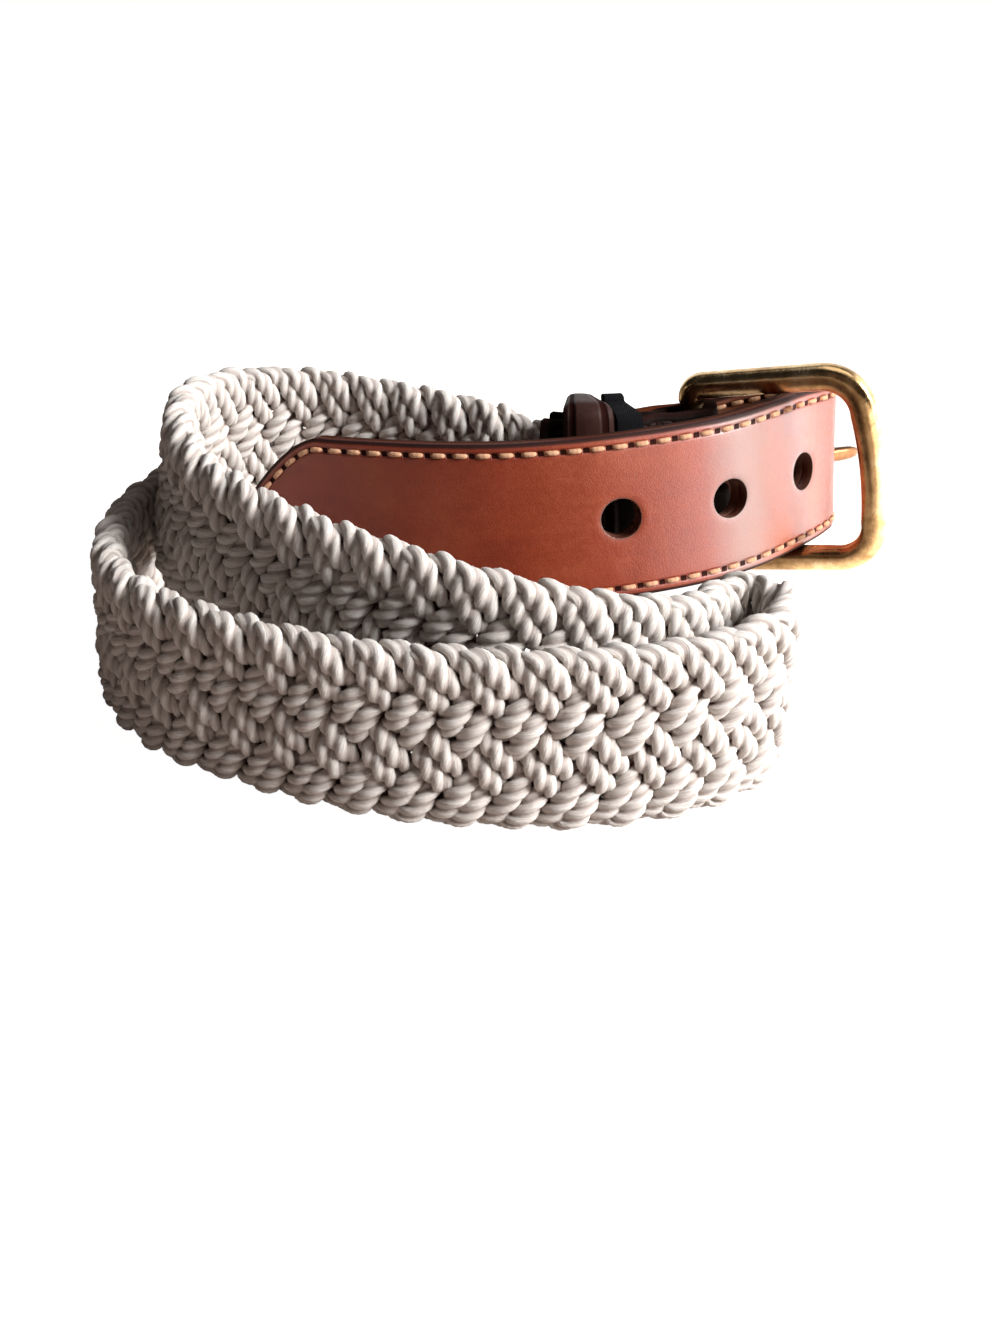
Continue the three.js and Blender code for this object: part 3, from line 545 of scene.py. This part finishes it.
def cord(start, half, seed):
    """One cord of a strand as rings of points in flat coordinates (along, side, up)."""
    s0, s1 = BRAID_START + 6, BRAID_STOP - 3
    fine = np.linspace(s0, s1, 12000)
    rng = np.random.default_rng(seed)
    # slow unevenness of the hand-pulled strands
    wob = sum(a * np.sin(fine / l + p) for a, l, p in zip((0.28, 0.16, 0.10), (31.0, 12.7, 5.9), rng.uniform(0, 6.28, 3)))
    sh = fine - start - half * PAIR / 2
    phi = (sh + wob * 0.5) / ZIGZAG
    phw = (fine - start - half * PAIR / 4) / ZIGZAG
    top = BRAID_H / 2 - CORD_R + 0.7
    v = top * zig(phi) + 0.12 * wob
    w = -CORD_WAVE * swing(phw) + 0.10 * np.sin(fine / 4.1 + rng.uniform(0, 6.28))
    c = np.stack([fine, w, v], 1)
    ln = np.concatenate([[0], np.cumsum(np.linalg.norm(np.diff(c, axis=0), axis=1))])
    n = int(ln[-1] / CORD_STEP) + 1
    q = np.linspace(0, ln[-1], n)
    c = np.stack([np.interp(q, ln, c[:, i]) for i in range(3)], 1)
    t = unit(np.gradient(c, axis=0))
    y = np.array([0, 1.0, 0])
    b1 = unit(y - t * (t @ y)[:, None])
    b2 = np.cross(t, b1)
    th = 2 * math.pi * np.arange(CORD_SIDES) / CORD_SIDES
    # outline of three plies laid together
    r = 1.38 + 0.68 * np.abs(np.cos(1.5 * th)) ** 1.1
    wide = 1 + 0.035 * np.sin(q / 3.3 + rng.uniform(0, 6.28)) + 0.02 * np.sin(q / 1.1)
    flat = 1.13 + 0.16 * smooth((np.abs(c[:, 2]) - top + 4.5) / 4.0)      # pressed wider round the edges
    psi = th[None, :] + (2 * math.pi * q / PLY_PITCH + rng.uniform(0, 6.28))[:, None]
    rr = r[None, :] * wide[:, None]
    pts = c[:, None, :] + rr[..., None] * (0.93 * np.cos(psi)[..., None] * b1[:, None, :] + (flat[:, None] * np.sin(psi))[..., None] * b2[:, None, :])
    # the turns round the belt's edges are pressed flat
    lim = BRAID_H / 2 - 2.4
    over = np.maximum(np.abs(pts[..., 2]) - lim, 0.0)
    pts[..., 2] -= np.sign(pts[..., 2]) * 0.36 * over
    # painted shade mask: 1 in the groove between the plies
    groove_shade = np.broadcast_to(smooth((1.84 - r) / 0.36)[None, :], psi.shape)
    # painted shade mask: 1 on the surface that lies inside the band, between the strands
    tuck_shade = smooth((2.1 - np.abs(pts[..., 1])) / 1.5) * smooth((top - 1.1 - np.abs(pts[..., 2])) / 2.2)
    # fibre coordinates run along each ply
    fib = np.stack([np.broadcast_to(q[:, None] * 0.34 + seed * 7.0, psi.shape),
                    np.broadcast_to((np.cos(th) * 4.2)[None, :], psi.shape),
                    np.broadcast_to((np.sin(th) * 4.2)[None, :], psi.shape)], -1)
    return pts, groove_shade, tuck_shade, fib


def strand(k):
    allp, alld, alls, allf, faces, base = [], [], [], [], [], 0
    for half in (-1, 1):
        pts, groove_shade, tuck_shade, fib = cord(BRAID_START + k * ZIGZAG / 5 - 8.0, half, 10 * k + (half > 0) + 3)
        hs, ws = braid_scale(pts[..., 0])
        m = pts.shape[0]
        p = put(pts[..., 0], pts[..., 1] * ws, pts[..., 2] * hs, chape_band)
        p[..., 2] = np.maximum(p[..., 2], 0.02)
        n = CORD_SIDES
        allp.append(p.reshape(-1, 3)); alld.append(groove_shade.ravel()); alls.append(tuck_shade.ravel()); allf.append(fib.reshape(-1, 3))
        faces.append(grid_faces(m, n, close_n=True) + base)
        base += m * n
    ob = make_mesh("plait_strand_%d" % (k + 1), np.concatenate(allp), np.concatenate(faces),
                   {"groove_shade": np.concatenate(alld), "tuck_shade": np.concatenate(alls), "fib": np.concatenate(allf)})
    return ob


for k in range(5):
    ob = strand(k)
    finish_piece(ob, COTTON, "cotton", "braid")


# ------------------------------------------------------------------ leather tip strap
def strap_half(s):
    d = np.clip((TIP_LENGTH - s) / TIP_LENGTH, 0, 1)
    return (STRAP_H / 2) * (1 - 0.94 * d ** 1.7)


def strap_gap(s):
    return GAP / 2 + (SANDWICH - GAP / 2) * smooth((s - BRAID_START + 12) / 10)


HOLES = [FIRST_HOLE + k * HOLE_PITCH for k in range(HOLE_COUNT)]
BLOCK = 9.0                                            # half size of the square of mesh round a hole
STEP = 1.0


def strap_flat():
    """Flat mesh of the strap with its round holes: points (s, v) and quads."""
    ss = [0.0, 0.35, 0.8, 1.4, 2.1]
    s = 3.0
    while s < HOLES[0] - BLOCK - 0.5:
        ss.append(s); s += STEP
    for i, c in enumerate(HOLES):
        k0 = np.linspace(c - BLOCK, c + BLOCK, 19)
        ss.extend(k0)
        nxt = HOLES[i + 1] - BLOCK if i + 1 < HOLE_COUNT else STRAP_END
        gap = nxt - (c + BLOCK)
        m = int(round(gap))
        ss.extend(np.linspace(c + BLOCK, nxt, m + 1)[1:-1])
    ss.append(STRAP_END)
    ss = np.array(ss)
    vv = np.concatenate([[-18.0, -17.6, -17.0, -16.2, -15.4], np.linspace(-14.4, -9.9, 5), np.linspace(-9, 9, 19), np.linspace(9.9, 14.4, 5), [15.4, 16.2, 17.0, 17.6, 18.0]])
    S, Vn = np.meshgrid(ss, vv, indexing="ij")
    half = strap_half(S)
    Vv = Vn * half / (STRAP_H / 2)
    ns, nv = S.shape
    idx = np.arange(ns * nv).reshape(ns, nv)
    keep = np.ones((ns - 1, nv - 1), bool)
    uv = [np.stack([S.ravel(), Vv.ravel()], 1)]
    quads = []
    base = ns * nv
    j0 = int(np.argmin(abs(vv + 9))); j1 = int(np.argmin(abs(vv - 9)))
    for c in HOLES:
        i0 = int(np.argmin(abs(ss - (c - BLOCK)))); i1 = int(np.argmin(abs(ss - (c + BLOCK))))
        keep[i0:i1, j0:j1] = False
        ring = [(i, j0) for i in range(i0, i1)] + [(i1, j) for j in range(j0, j1)] + [(i, j1) for i in range(i1, i0, -1)] + [(i0, j) for j in range(j1, j0, -1)]
        rid = np.array([idx[i, j] for i, j in ring])
        pts = np.array([[ss[i], vv[j]] for i, j in ring])
        ang = np.arctan2(pts[:, 1], pts[:, 0] - c)
        circ = np.stack([c + HOLE_R * np.cos(ang), HOLE_R * np.sin(ang)], 1)
        prev = rid
        m = len(ring)
        for f in (0.25, 0.45, 0.62, 0.76, 0.87, 0.95, 1.0):
            new = pts + (circ - pts) * f
            ids = base + np.arange(m)
            uv.append(new); base += m
            for a in range(m):
                b = (a + 1) % m
                quads.append([prev[a], prev[b], ids[b], ids[a]])
            prev = ids
    fq = np.stack([idx[:-1, :-1], idx[1:, :-1], idx[1:, 1:], idx[:-1, 1:]], -1)[keep]
    uv = np.concatenate(uv)
    return uv, np.concatenate([fq.reshape(-1, 4), np.array(quads)])


def strap_facts(uv):
    s, v = uv[:, 0], uv[:, 1]
    # outline as a dense line, for distance and run along it
    q = np.linspace(0, STRAP_END, 2400) ** 1.0
    q = np.concatenate([np.linspace(0, 22, 500), np.linspace(22, STRAP_END, 1500)[1:]])
    up = np.stack([q, strap_half(q)], 1)
    ln = np.concatenate([[0], np.cumsum(np.linalg.norm(np.diff(up, axis=0), axis=1))])
    a = np.stack([s, np.abs(v)], 1)
    edge = np.empty(len(s)); run = np.empty(len(s))
    for i in range(0, len(s), 400):
        d = ((a[i:i + 400, None, :] - up[None]) ** 2).sum(2)
        j = d.argmin(1)
        edge[i:i + 400] = np.sqrt(d[np.arange(len(j)), j]); run[i:i + 400] = ln[j]
    # smoother away from the tip
    far = s > 24
    edge[far] = STRAP_H / 2 - np.abs(v[far]); run[far] = (s + (ln[-1] - STRAP_END))[far]
    edge = np.minimum(edge, np.where(s < 24, s + 1.08, 99) + 0 * edge)
    hole = np.min([np.hypot(s - c, v) - HOLE_R for c in HOLES], axis=0)
    return edge, run, hole


UV, QUADS = strap_flat()
EDGE, RUN, HOLE = strap_facts(UV)


def strap_layer(name, side, mat):
    s, v = UV[:, 0], UV[:, 1]
    g = strap_gap(s)
    # edges roll down a little, holes' rims sink a little
    roll = 0.42 * smooth(1 - EDGE / 1.3) + 0.14 * smooth(1 - HOLE / 1.0)
    groove = 0.16 * np.exp(-((EDGE - STITCH["inset"]) / 0.55) ** 2)
    outer = put(s, side * (g + LEATHER_T - roll - groove), v)
    inner = put(s, side * g, v)
    at = {"edge": EDGE, "run": RUN, "hole": HOLE, "long": s, "across": v}
    ob = plate(name, UV, QUADS, outer, inner, at)
    soften(ob, 0.28, 2, 50)
    return finish_piece(ob, mat, "leather_tan", name.replace("leather_", "tip_strap_"))


strap_layer("leather_face", -1, TAN)
strap_layer("leather_lining", 1, TAN_BACK)


def stitches(name, path, normal, pitch, length, r, sink, run=None, mat=None):
    """Short thread lengths along a path of points, each a bent capsule that dips into the leather at its ends."""
    d = np.concatenate([[0], np.cumsum(np.linalg.norm(np.diff(path, axis=0), axis=1))])
    if run is None:
        cs = np.arange(pitch / 2, d[-1] - pitch / 2, pitch)
    else:
        cs = (np.arange(math.ceil(run[0] / pitch), math.floor(run[-1] / pitch)) + 0.5) * pitch
        cs = np.interp(cs, run, d)
    rings, sides = 9, 8
    V, F, A = [], [], []
    base = 0
    for ci, c in enumerate(cs):
        u = np.linspace(-1, 1, rings)
        q = c + u * length / 2
        p = np.stack([np.interp(q, d, path[:, i]) for i in range(3)], 1)
        nn = unit(np.stack([np.interp(q, d, normal[:, i]) for i in range(3)], 1))
        p = p + nn * (r * 0.42 - sink * np.abs(u) ** 3)[:, None]
        t = unit(np.gradient(p, axis=0)); b = np.cross(t, nn)
        rad = r * np.sqrt(np.maximum(1 - np.abs(u) ** 6, 0.05))
        th = 2 * math.pi * np.arange(sides) / sides
        ring = p[:, None] + rad[:, None, None] * (np.cos(th)[None, :, None] * nn[:, None] * 0.8 + np.sin(th)[None, :, None] * b[:, None])
        V.append(ring.reshape(-1, 3))
        F.append(grid_faces(rings, sides, close_n=True) + base)
        A.append(np.stack([np.broadcast_to((q * 1.0)[:, None], (rings, sides)), np.broadcast_to(np.cos(th)[None] * 1.0, (rings, sides)), np.broadcast_to(np.sin(th)[None] * 1.0 + ci * 3.1, (rings, sides))], -1).reshape(-1, 3))
        base += rings * sides
    ob = make_mesh(name, np.concatenate(V), np.concatenate(F), {"fib": np.concatenate(A)})
    return finish_piece(ob, mat or THREAD, "leather_tan")


def stitch_path(side, sign):
    inset = STITCH["inset"]
    q = np.concatenate([np.linspace(0, 22, 300), np.linspace(22, STRAP_END - 2, 1200)[1:]])
    up = np.stack([q, strap_half(q)], 1)
    t = unit(np.gradient(up, axis=0))
    nrm = np.stack([t[:, 1], -t[:, 0]], 1)
    off = up + nrm * inset
    keep = off[:, 1] > 0.3
    keep &= off[:, 0] > 1.6
    ln = np.concatenate([[0], np.cumsum(np.linalg.norm(np.diff(up, axis=0), axis=1))])
    off, run = off[keep], ln[keep]
    g = strap_gap(off[:, 0])
    p = put(off[:, 0], side * (g + LEATHER_T - 0.1), sign * off[:, 1])
    _, _, n, _ = band(off[:, 0])
    return p, side * n, run


for side, nm in ((-1, "face"), (1, "lining")):
    for sign, w in ((1, "top"), (-1, "bottom")):
        p, n, run = stitch_path(side, sign)
        # stitch centres fall where the shader has no awl hole
        stitches("stitches_%s_%s" % (nm, w), p, n, STITCH["pitch"], 3.6, 0.58, 0.62, run)


# ------------------------------------------------------------------ chape
BAR_LOOP, FOLD_HALF = HEEL_R + GAP, 17.2


def chape_gap(s):
    d = HEEL_S - s
    return np.where(d < 13, GAP / 2 + (BAR_LOOP - GAP / 2) * smooth((13 - d) / 10), GAP / 2 + (SANDWICH - GAP / 2) * smooth((d - 13) / 6.5))


def chape_half(s):
    return STRAP_H / 2 - (STRAP_H / 2 - FOLD_HALF) * smooth((s - HEEL_S + 14) / 8)


def make_chape():
    lens = np.linspace(CHAPE_START, HEEL_S - 3, 42)
    vv = np.concatenate([[-1, -0.975, -0.94, -0.89], np.linspace(-0.83, -0.27, 9), [-0.2209, 0.2209], np.linspace(0.27, 0.83, 9), [0.89, 0.94, 0.975, 1]])
    j0 = int(np.argmin(abs(vv + 0.2209)))
    rows_o, rows_i, runs, bs = [], [], [], []
    p, t, n, h = chape_band(lens)
    g, hh = chape_gap(lens), chape_half(lens)

    def leaf(side):
        b = vv[None, :] * hh[:, None]
        base = p[:, None] + h[:, None] * b[..., None]
        return base + n[:, None] * (side * (g + LEATHER_T))[:, None, None], base + n[:, None] * (side * g)[:, None, None], b
    o1, i1, b1 = leaf(-1)
    pe, tt, ne, he = (x[0] for x in chape_band(HEEL_S))
    te = unit(-np.cross(he, ne))
    a = np.linspace(0, math.pi, 25)
    d = -ne[None] * np.cos(a)[:, None] + te[None] * np.sin(a)[:, None]
    bb = np.broadcast_to(vv * FOLD_HALF, (25, len(vv)))
    of = HEEL + d[:, None] * (BAR_LOOP + LEATHER_T) + he * bb[..., None]
    inf = HEEL + d[:, None] * BAR_LOOP + he * bb[..., None]
    o2, i2, b2 = leaf(1)
    O = np.concatenate([o1, of, o2[::-1]]); I = np.concatenate([i1, inf, i2[::-1]]); B = np.concatenate([b1, bb, b2[::-1]])
    m, nn = O.shape[:2]
    mid = (O + I) / 2
    # slot for the prong
    rel = (mid - (HEEL + te * 0.5)) @ te
    keep = np.ones((m - 1, nn - 1), bool)
    inside = (np.abs(rel[:, nn // 2]) < 11)
    rows = np.where(inside)[0]
    keep[rows[0]:rows[-1], j0:j0 + 1] = False
    idx = np.arange(m * nn).reshape(m, nn)
    q = np.stack([idx[:-1, :-1], idx[1:, :-1], idx[1:, 1:], idx[:-1, 1:]], -1)[keep].reshape(-1, 4)
    ln = np.concatenate([[0], np.cumsum(np.linalg.norm(np.diff(O[:, nn // 2], axis=0), axis=1))])
    L = np.broadcast_to(ln[:, None], (m, nn))
    hb = np.concatenate([hh, np.full(25, FOLD_HALF), hh[::-1]])[:, None]
    edge = np.minimum(hb - np.abs(B), np.minimum(L, ln[-1] - L) + 0.0)
    at = {"edge": edge.ravel(), "run": L.ravel().copy(), "hole": np.full(m * nn, 9.0), "long": L.ravel().copy(), "across": B.ravel()}
    ob = plate("chape_leather", np.zeros((m * nn, 2)), q, O.reshape(-1, 3), I.reshape(-1, 3), at)
    soften(ob, 0.35, 2, 50)
    return finish_piece(ob, CHAPE_PAINTED_SHADE, "leather_tan", "chape")


make_chape()
for side, nm in ((-1, "near"), (1, "far")):
    for sign, w in ((1, "top"), (-1, "bottom")):
        q = np.linspace(CHAPE_START + 2.4, HEEL_S - 6, 80)
        p, t, n, h = chape_band(q)
        pts = p + n * (side * (chape_gap(q) + LEATHER_T - 0.05))[:, None] + h * (sign * (chape_half(q) - STITCH["inset"]))[:, None]
        stitches("stitches_chape_%s_%s" % (nm, w), pts, side * n, STITCH["pitch"], 3.4, 0.45, 0.62, None, THREAD_PAINTED_SHADE)


# ------------------------------------------------------------------ keeper and label
CHAPE_THICK = 2 * (SANDWICH + LEATHER_T)
KEEPER_S = HEEL_S - 33.5


def round_rect(w, h, r, n, extra=6):
    pts = []
    for sx, sy, a0 in ((1, 1, 0), (-1, 1, 90), (-1, -1, 180), (1, -1, 270)):
        for k in range(n + 1):
            a = math.radians(a0 + 90 * k / n)
            pts.append((sx * (w / 2 - r) + r * math.cos(a), sy * (h / 2 - r) + r * math.sin(a)))
    # more points on the long sides
    out = []
    for i, p in enumerate(pts):
        out.append(p)
        q = pts[(i + 1) % len(pts)]
        L = math.hypot(q[0] - p[0], q[1] - p[1])
        m = int(L / 2.0)
        for j in range(1, m + 1):
            f = j / (m + 1)
            out.append((p[0] + (q[0] - p[0]) * f, p[1] + (q[1] - p[1]) * f))
    return np.array(out)


def make_keeper():
    inner = round_rect(CHAPE_THICK + 1.2, STRAP_H + 2.6, 1.4, 5)
    nrm = []
    m = len(inner)
    for i in range(m):
        t = inner[(i + 1) % m] - inner[i - 1]
        t = t / np.hypot(*t)
        nrm.append((t[1], -t[0]))
    nrm = np.array(nrm)
    outer = inner + nrm * KEEPER_T
    prof = [(-1, 0.0), (-1, 0.30), (-0.97, 0.50), (-0.88, 0.72), (-0.70, 0.90), (-0.4, 0.98), (0, 1.0), (0.4, 0.98), (0.70, 0.90), (0.88, 0.72), (0.97, 0.50), (1, 0.30), (1, 0.0), (0.4, 0.0), (-0.4, 0.0)]
    V, E, L, A = [], [], [], []
    for (u, f) in prof:
        c = inner + nrm * KEEPER_T * f
        s = np.full(m, KEEPER_S + u * KEEPER_W / 2)
        V.append(put(s, c[:, 0], c[:, 1] + 0.9, chape_band))
        E.append(np.full(m, (1 - abs(u)) * KEEPER_W / 2 + 0.35 if f > 0.4 else 0.0))
        L.append(np.arange(m) * 2.0); A.append(np.full(m, u * 1.2))
    F = grid_faces(len(prof), m, close_n=True, close_m=True)
    n = len(prof) * m
    ob = make_mesh("keeper_loop", np.concatenate(V), F, {"edge": np.concatenate(E), "run": np.zeros(n), "hole": np.full(n, 9.0), "long": np.concatenate(L), "across": np.concatenate(A), "inner": np.zeros(n)})
    outward(ob)
    return finish_piece(ob, KEEPER_PAINTED_SHADE, "leather_tan", "keeper")


make_keeper()


def make_label():
    s0 = KEEPER_S + KEEPER_W / 2 + 0.4
    inn, top, drop = CHAPE_THICK / 2 + 0.9, STRAP_H / 2 + 4.6, STRAP_H / 2 - LABEL_DROP
    # folded tape: up one side, both leaves closed on each other above the edge, down the other side
    side, shut = inn + LABEL_T / 2, STRAP_H / 2 + 0.8
    thin = LABEL_T / 2 + 0.03
    half = [(side, b) for b in np.linspace(drop, shut - 0.4, 12)]
    half += [(thin + (side - thin) * (1 - smooth(f)), shut - 0.2 + 2.7 * f) for f in (0.12, 0.28, 0.45, 0.62, 0.8, 0.95)]
    half += [(thin, b) for b in np.linspace(shut + 2.7, top - 0.35, 3)] + [(thin * 0.6, top - 0.12)]
    path = [(-x, y) for x, y in half] + [(0.0, top - 0.02)] + half[::-1]
    path = np.array(path)
    t = np.gradient(path, axis=0); t /= np.hypot(t[:, 0], t[:, 1])[:, None]
    nr = np.stack([-t[:, 1], t[:, 0]], 1)
    m = len(path)
    us = np.linspace(0, 1, 9)
    uvs = np.array([[i, u] for i in range(m) for u in us])
    def at(off):
        out = []
        for i in range(m):
            c = path[i] + nr[i] * off
            wave = 0.0
            out.append(put(s0 + us * LABEL_W, np.full(len(us), c[0]), np.full(len(us), c[1] + wave), chape_band))
        return np.concatenate(out)
    q = grid_faces(m, len(us))
    ob = plate("label_tape", uvs, q, at(LABEL_T / 2), at(-LABEL_T / 2 + 0.05), {})
    soften(ob, 0.2, 2, 50)
    return finish_piece(ob, TAPE, "label_black", "label")


make_label()


# ------------------------------------------------------------------ buckle
def make_buckle():
    L, H, R = FRAME_L - BAR_W, FRAME_H - BAR_W, FRAME_CORNER - BAR_W / 2
    mid = []
    for sx, sy, a0 in ((1, 1, 0), (-1, 1, 90), (-1, -1, 180), (1, -1, 270)):
        r = 3.2 if sx < 0 else R
        for k in range(25):
            a = math.radians(a0 + 90 * k / 24)
            mid.append((sx * (L / 2 - r) + r * math.cos(a), sy * (H / 2 - r) + r * math.sin(a)))
        if sx > 0 and sy > 0:
            mid += [(x, H / 2) for x in np.linspace(L / 2 - R, -L / 2 + 3.2, 22)[1:-1]]
        elif sx < 0 and sy > 0:
            mid += [(-L / 2, b) for b in np.concatenate([np.linspace(18.9, 17.4, 6), np.linspace(16, -16, 18), np.linspace(-17.4, -18.9, 6)])]
        elif sx < 0:
            mid += [(x, -H / 2) for x in np.linspace(-L / 2 + 3.2, L / 2 - R, 22)[1:-1]]
        else:
            mid += [(L / 2 + 0.9 * (1 - (b / 13.25) ** 2), b) for b in np.linspace(-13, 13, 20)[1:-1]]
    mid = np.array(mid)
    nx, pv = np.roll(mid, -1, 0), np.roll(mid, 1, 0)
    t = nx - pv
    t /= np.hypot(t[:, 0], t[:, 1])[:, None]
    out = np.stack([t[:, 1], -t[:, 0]], 1)
    heel = np.where(mid[:, 0] < -L / 2 + 0.5, smooth((H / 2 - 3.0 - np.abs(mid[:, 1])) / 1.2), 0)
    hw = BAR_W / 2 + (HEEL_R - BAR_W / 2) * heel
    hd = BAR_D / 2 + (HEEL_R - BAR_D / 2) * heel
    th = 2 * math.pi * np.arange(28) / 28
    ca, sa = np.cos(th), np.sin(th)
    q = (np.abs(ca) ** 2.6 + np.abs(sa) ** 2.6) ** (-1 / 2.6)
    e = np.where(heel[:, None] > 0, 1 + (q[None] - 1) * (1 - heel[:, None]), q[None])
    x = mid[:, 0, None] + out[:, 0, None] * hw[:, None] * ca * e
    y = mid[:, 1, None] + out[:, 1, None] * hw[:, None] * ca * e
    z = hd[:, None] * sa * e
    V = on_frame(x, y, z)
    ob = make_mesh("buckle_brass", V.reshape(-1, 3), grid_faces(len(mid), 28, close_n=True, close_m=True))
    outward(ob)
    return finish_piece(ob, BRASS, "brass", "buckle_frame")


make_buckle()


def make_prong():
    p, _, _, up = band(FIRST_HOLE + 3 * HOLE_PITCH)
    d = unit(p[0] - up[0] * 1.3 - HEEL)
    pu = unit(d - BV * (d @ BV)); pw = unit(np.cross(BV, pu))
    # the eye: a band wrapped round the heel bar
    ri, ro, hh = HEEL_R + GAP, HEEL_R + GAP + 1.7, PRONG_W / 2
    prof = [(ri, -hh + 0.3), (ri + 0.3, -hh), (ro - 0.6, -hh), (ro - 0.15, -hh + 0.2), (ro, -hh + 0.6), (ro, hh - 0.6), (ro - 0.15, hh - 0.2), (ro - 0.6, hh), (ri + 0.3, hh), (ri, hh - 0.3)]
    th = 2 * math.pi * np.arange(48) / 48
    V1 = np.array([[HEEL + BV * b + pu * r * math.cos(a) + pw * r * math.sin(a) for r, b in prof] for a in th])
    F1 = grid_faces(48, len(prof), close_n=True, close_m=True)
    hv = unit(BV - d * (BV @ d)); hw = np.cross(d, hv)
    rows = [(HEEL_R + GAP + 0.5, 2.3, 1.7), (7, 2.28, 1.7), (12, 2.2, 1.7), (19, 2.1, 1.65), (26, 2.0, 1.6), (32, 1.9, 1.55), (41.5, 1.8, 1.5), (44, 1.62, 1.36), (45.5, 1.35, 1.12), (46.2, 0.98, 0.84), (46.5, 0.5, 0.44)]
    tt = 2 * math.pi * np.arange(20) / 20
    ca, sa = np.cos(tt), np.sin(tt)
    q = (np.abs(ca) ** 3 + np.abs(sa) ** 3) ** (-1 / 3)
    V2 = np.array([HEEL + d * r + (w * ca * q)[:, None] * hv + (t * sa * q)[:, None] * hw for r, w, t in rows])
    n1 = V1.reshape(-1, 3).shape[0]
    F2 = grid_faces(len(rows), 20, close_n=True) + n1
    faces = [tuple(f) for f in F1] + [tuple(f) for f in F2] + [tuple(n1 + (len(rows) - 1) * 20 + i for i in range(20)), tuple(n1 + i for i in range(19, -1, -1))]
    ob = make_mesh("prong_brass", np.concatenate([V1.reshape(-1, 3), V2.reshape(-1, 3)]), faces)
    outward(ob)
    return finish_piece(ob, BRASS_PRONG_PAINTED_SHADE, "brass", "prong")


make_prong()

# ------------------------------------------------------------------ floor and light
me = bpy.data.meshes.new("floor")
me.from_pydata([(-0.8, -0.7, 0), (0.8, -0.7, 0), (0.8, 0.8, 0), (-0.8, 0.8, 0)], [], [(0, 1, 2, 3)])
floor = bpy.data.objects.new("floor", me)
bpy.context.collection.objects.link(floor)
fm, fnt, fb = new_mat("floor")
fb.inputs["Base Color"].default_value = (0.46, 0.385, 0.345, 1)
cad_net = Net(fnt)
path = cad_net.n("ShaderNodeLightPath")
seen = path.outputs["Is Camera Ray"]
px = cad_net.n("ShaderNodeSeparateXYZ")
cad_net.put(px.inputs[0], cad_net.coords())
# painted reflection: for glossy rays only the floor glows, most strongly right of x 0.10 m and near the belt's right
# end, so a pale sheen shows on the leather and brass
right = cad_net.ramp(px.outputs[0], [(0.10, 0.0), (0.24, 1.0)])
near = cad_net.math("MULTIPLY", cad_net.ramp(px.outputs[0], [(0.055, 0.0), (0.09, 1.0)]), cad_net.ramp(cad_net.math("ADD", px.outputs[1], 0.5), [(0.18, 0.0), (0.26, 1.0)]))
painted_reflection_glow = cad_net.math("MULTIPLY", path.outputs["Is Glossy Ray"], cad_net.math("ADD", 0.04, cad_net.math("ADD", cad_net.math("MULTIPLY", right, 3.6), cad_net.math("MULTIPLY", near, 3.4))))
fb.inputs["Emission Color"].default_value = (1, 1, 1, 1)
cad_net.put(fb.inputs["Emission Strength"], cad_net.math("ADD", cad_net.math("MULTIPLY", seen, 0.985), painted_reflection_glow))
fb.inputs["Roughness"].default_value = 0.9
fb.inputs["Specular IOR Level"].default_value = 0.1
me.materials.append(fm)


def area(name, loc, target, size, power, color=(1, 1, 1)):
    l = bpy.data.lights.new(name, "AREA")
    l.shape = "RECTANGLE"; l.size, l.size_y = size
    l.energy = power; l.color = color
    o = bpy.data.objects.new(name, l)
    bpy.context.collection.objects.link(o)
    o.location = loc
    o.rotation_euler = (Vector(target) - Vector(loc)).to_track_quat("-Z", "Y").to_euler()
    return o


area("key", (0.86, -0.37, 0.57), (0.0, 0.0, 0.03), (0.5, 0.5), 26.0)
area("side", (0.55, -0.10, 0.075), (0.06, 0.0, 0.03), (0.50, 0.12), 0.8)
area("top", (0.32, -0.02, 0.95), (0.02, 0.0, 0.0), (0.45, 0.45), 0.7)
area("fill", (-0.3, -1.0, 0.4), (0.0, 0.0, 0.03), (0.8, 0.6), 0.17, (1.0, 0.74, 0.66))

w = bpy.data.worlds.new("studio")
bpy.context.scene.world = w
w.use_nodes = True
bg = next(n for n in w.node_tree.nodes if n.type == "BACKGROUND")
wk = Net(w.node_tree)
wpath = wk.n("ShaderNodeLightPath")
ray = wpath.outputs["Is Camera Ray"]
wd = wk.n("ShaderNodeSeparateXYZ")
wk.put(wd.inputs[0], wk.n("ShaderNodeTexCoord").outputs["Generated"])
sheet = wk.math("ADD", wk.math("MULTIPLY", wk.ramp(wd.outputs[0], [(0.56, 0.0), (0.76, 1.0)]), 3.8),
                wk.math("ADD", wk.math("MULTIPLY", wk.ramp(wd.outputs[2], [(0.86, 0.0), (0.95, 1.0)]), 1.6),
                        wk.math("MULTIPLY", wk.ramp(wd.outputs[1], [(0.55, 0.0), (0.80, 1.0)]), 1.3)))
wk.put(bg.inputs[0], wk.mix(wk.math("ADD", ray, wpath.outputs["Is Glossy Ray"], clamp=True), (1.0, 0.74, 0.66), (1.0, 1.0, 1.0)))
wk.put(bg.inputs[1], wk.math("ADD", wk.math("ADD", wk.math("MULTIPLY", ray, 0.99), 0.025), wk.math("MULTIPLY", wpath.outputs["Is Glossy Ray"], sheet)))
bpy.context.scene.view_settings.view_transform = "Standard"
bpy.context.scene.view_settings.look = "None"

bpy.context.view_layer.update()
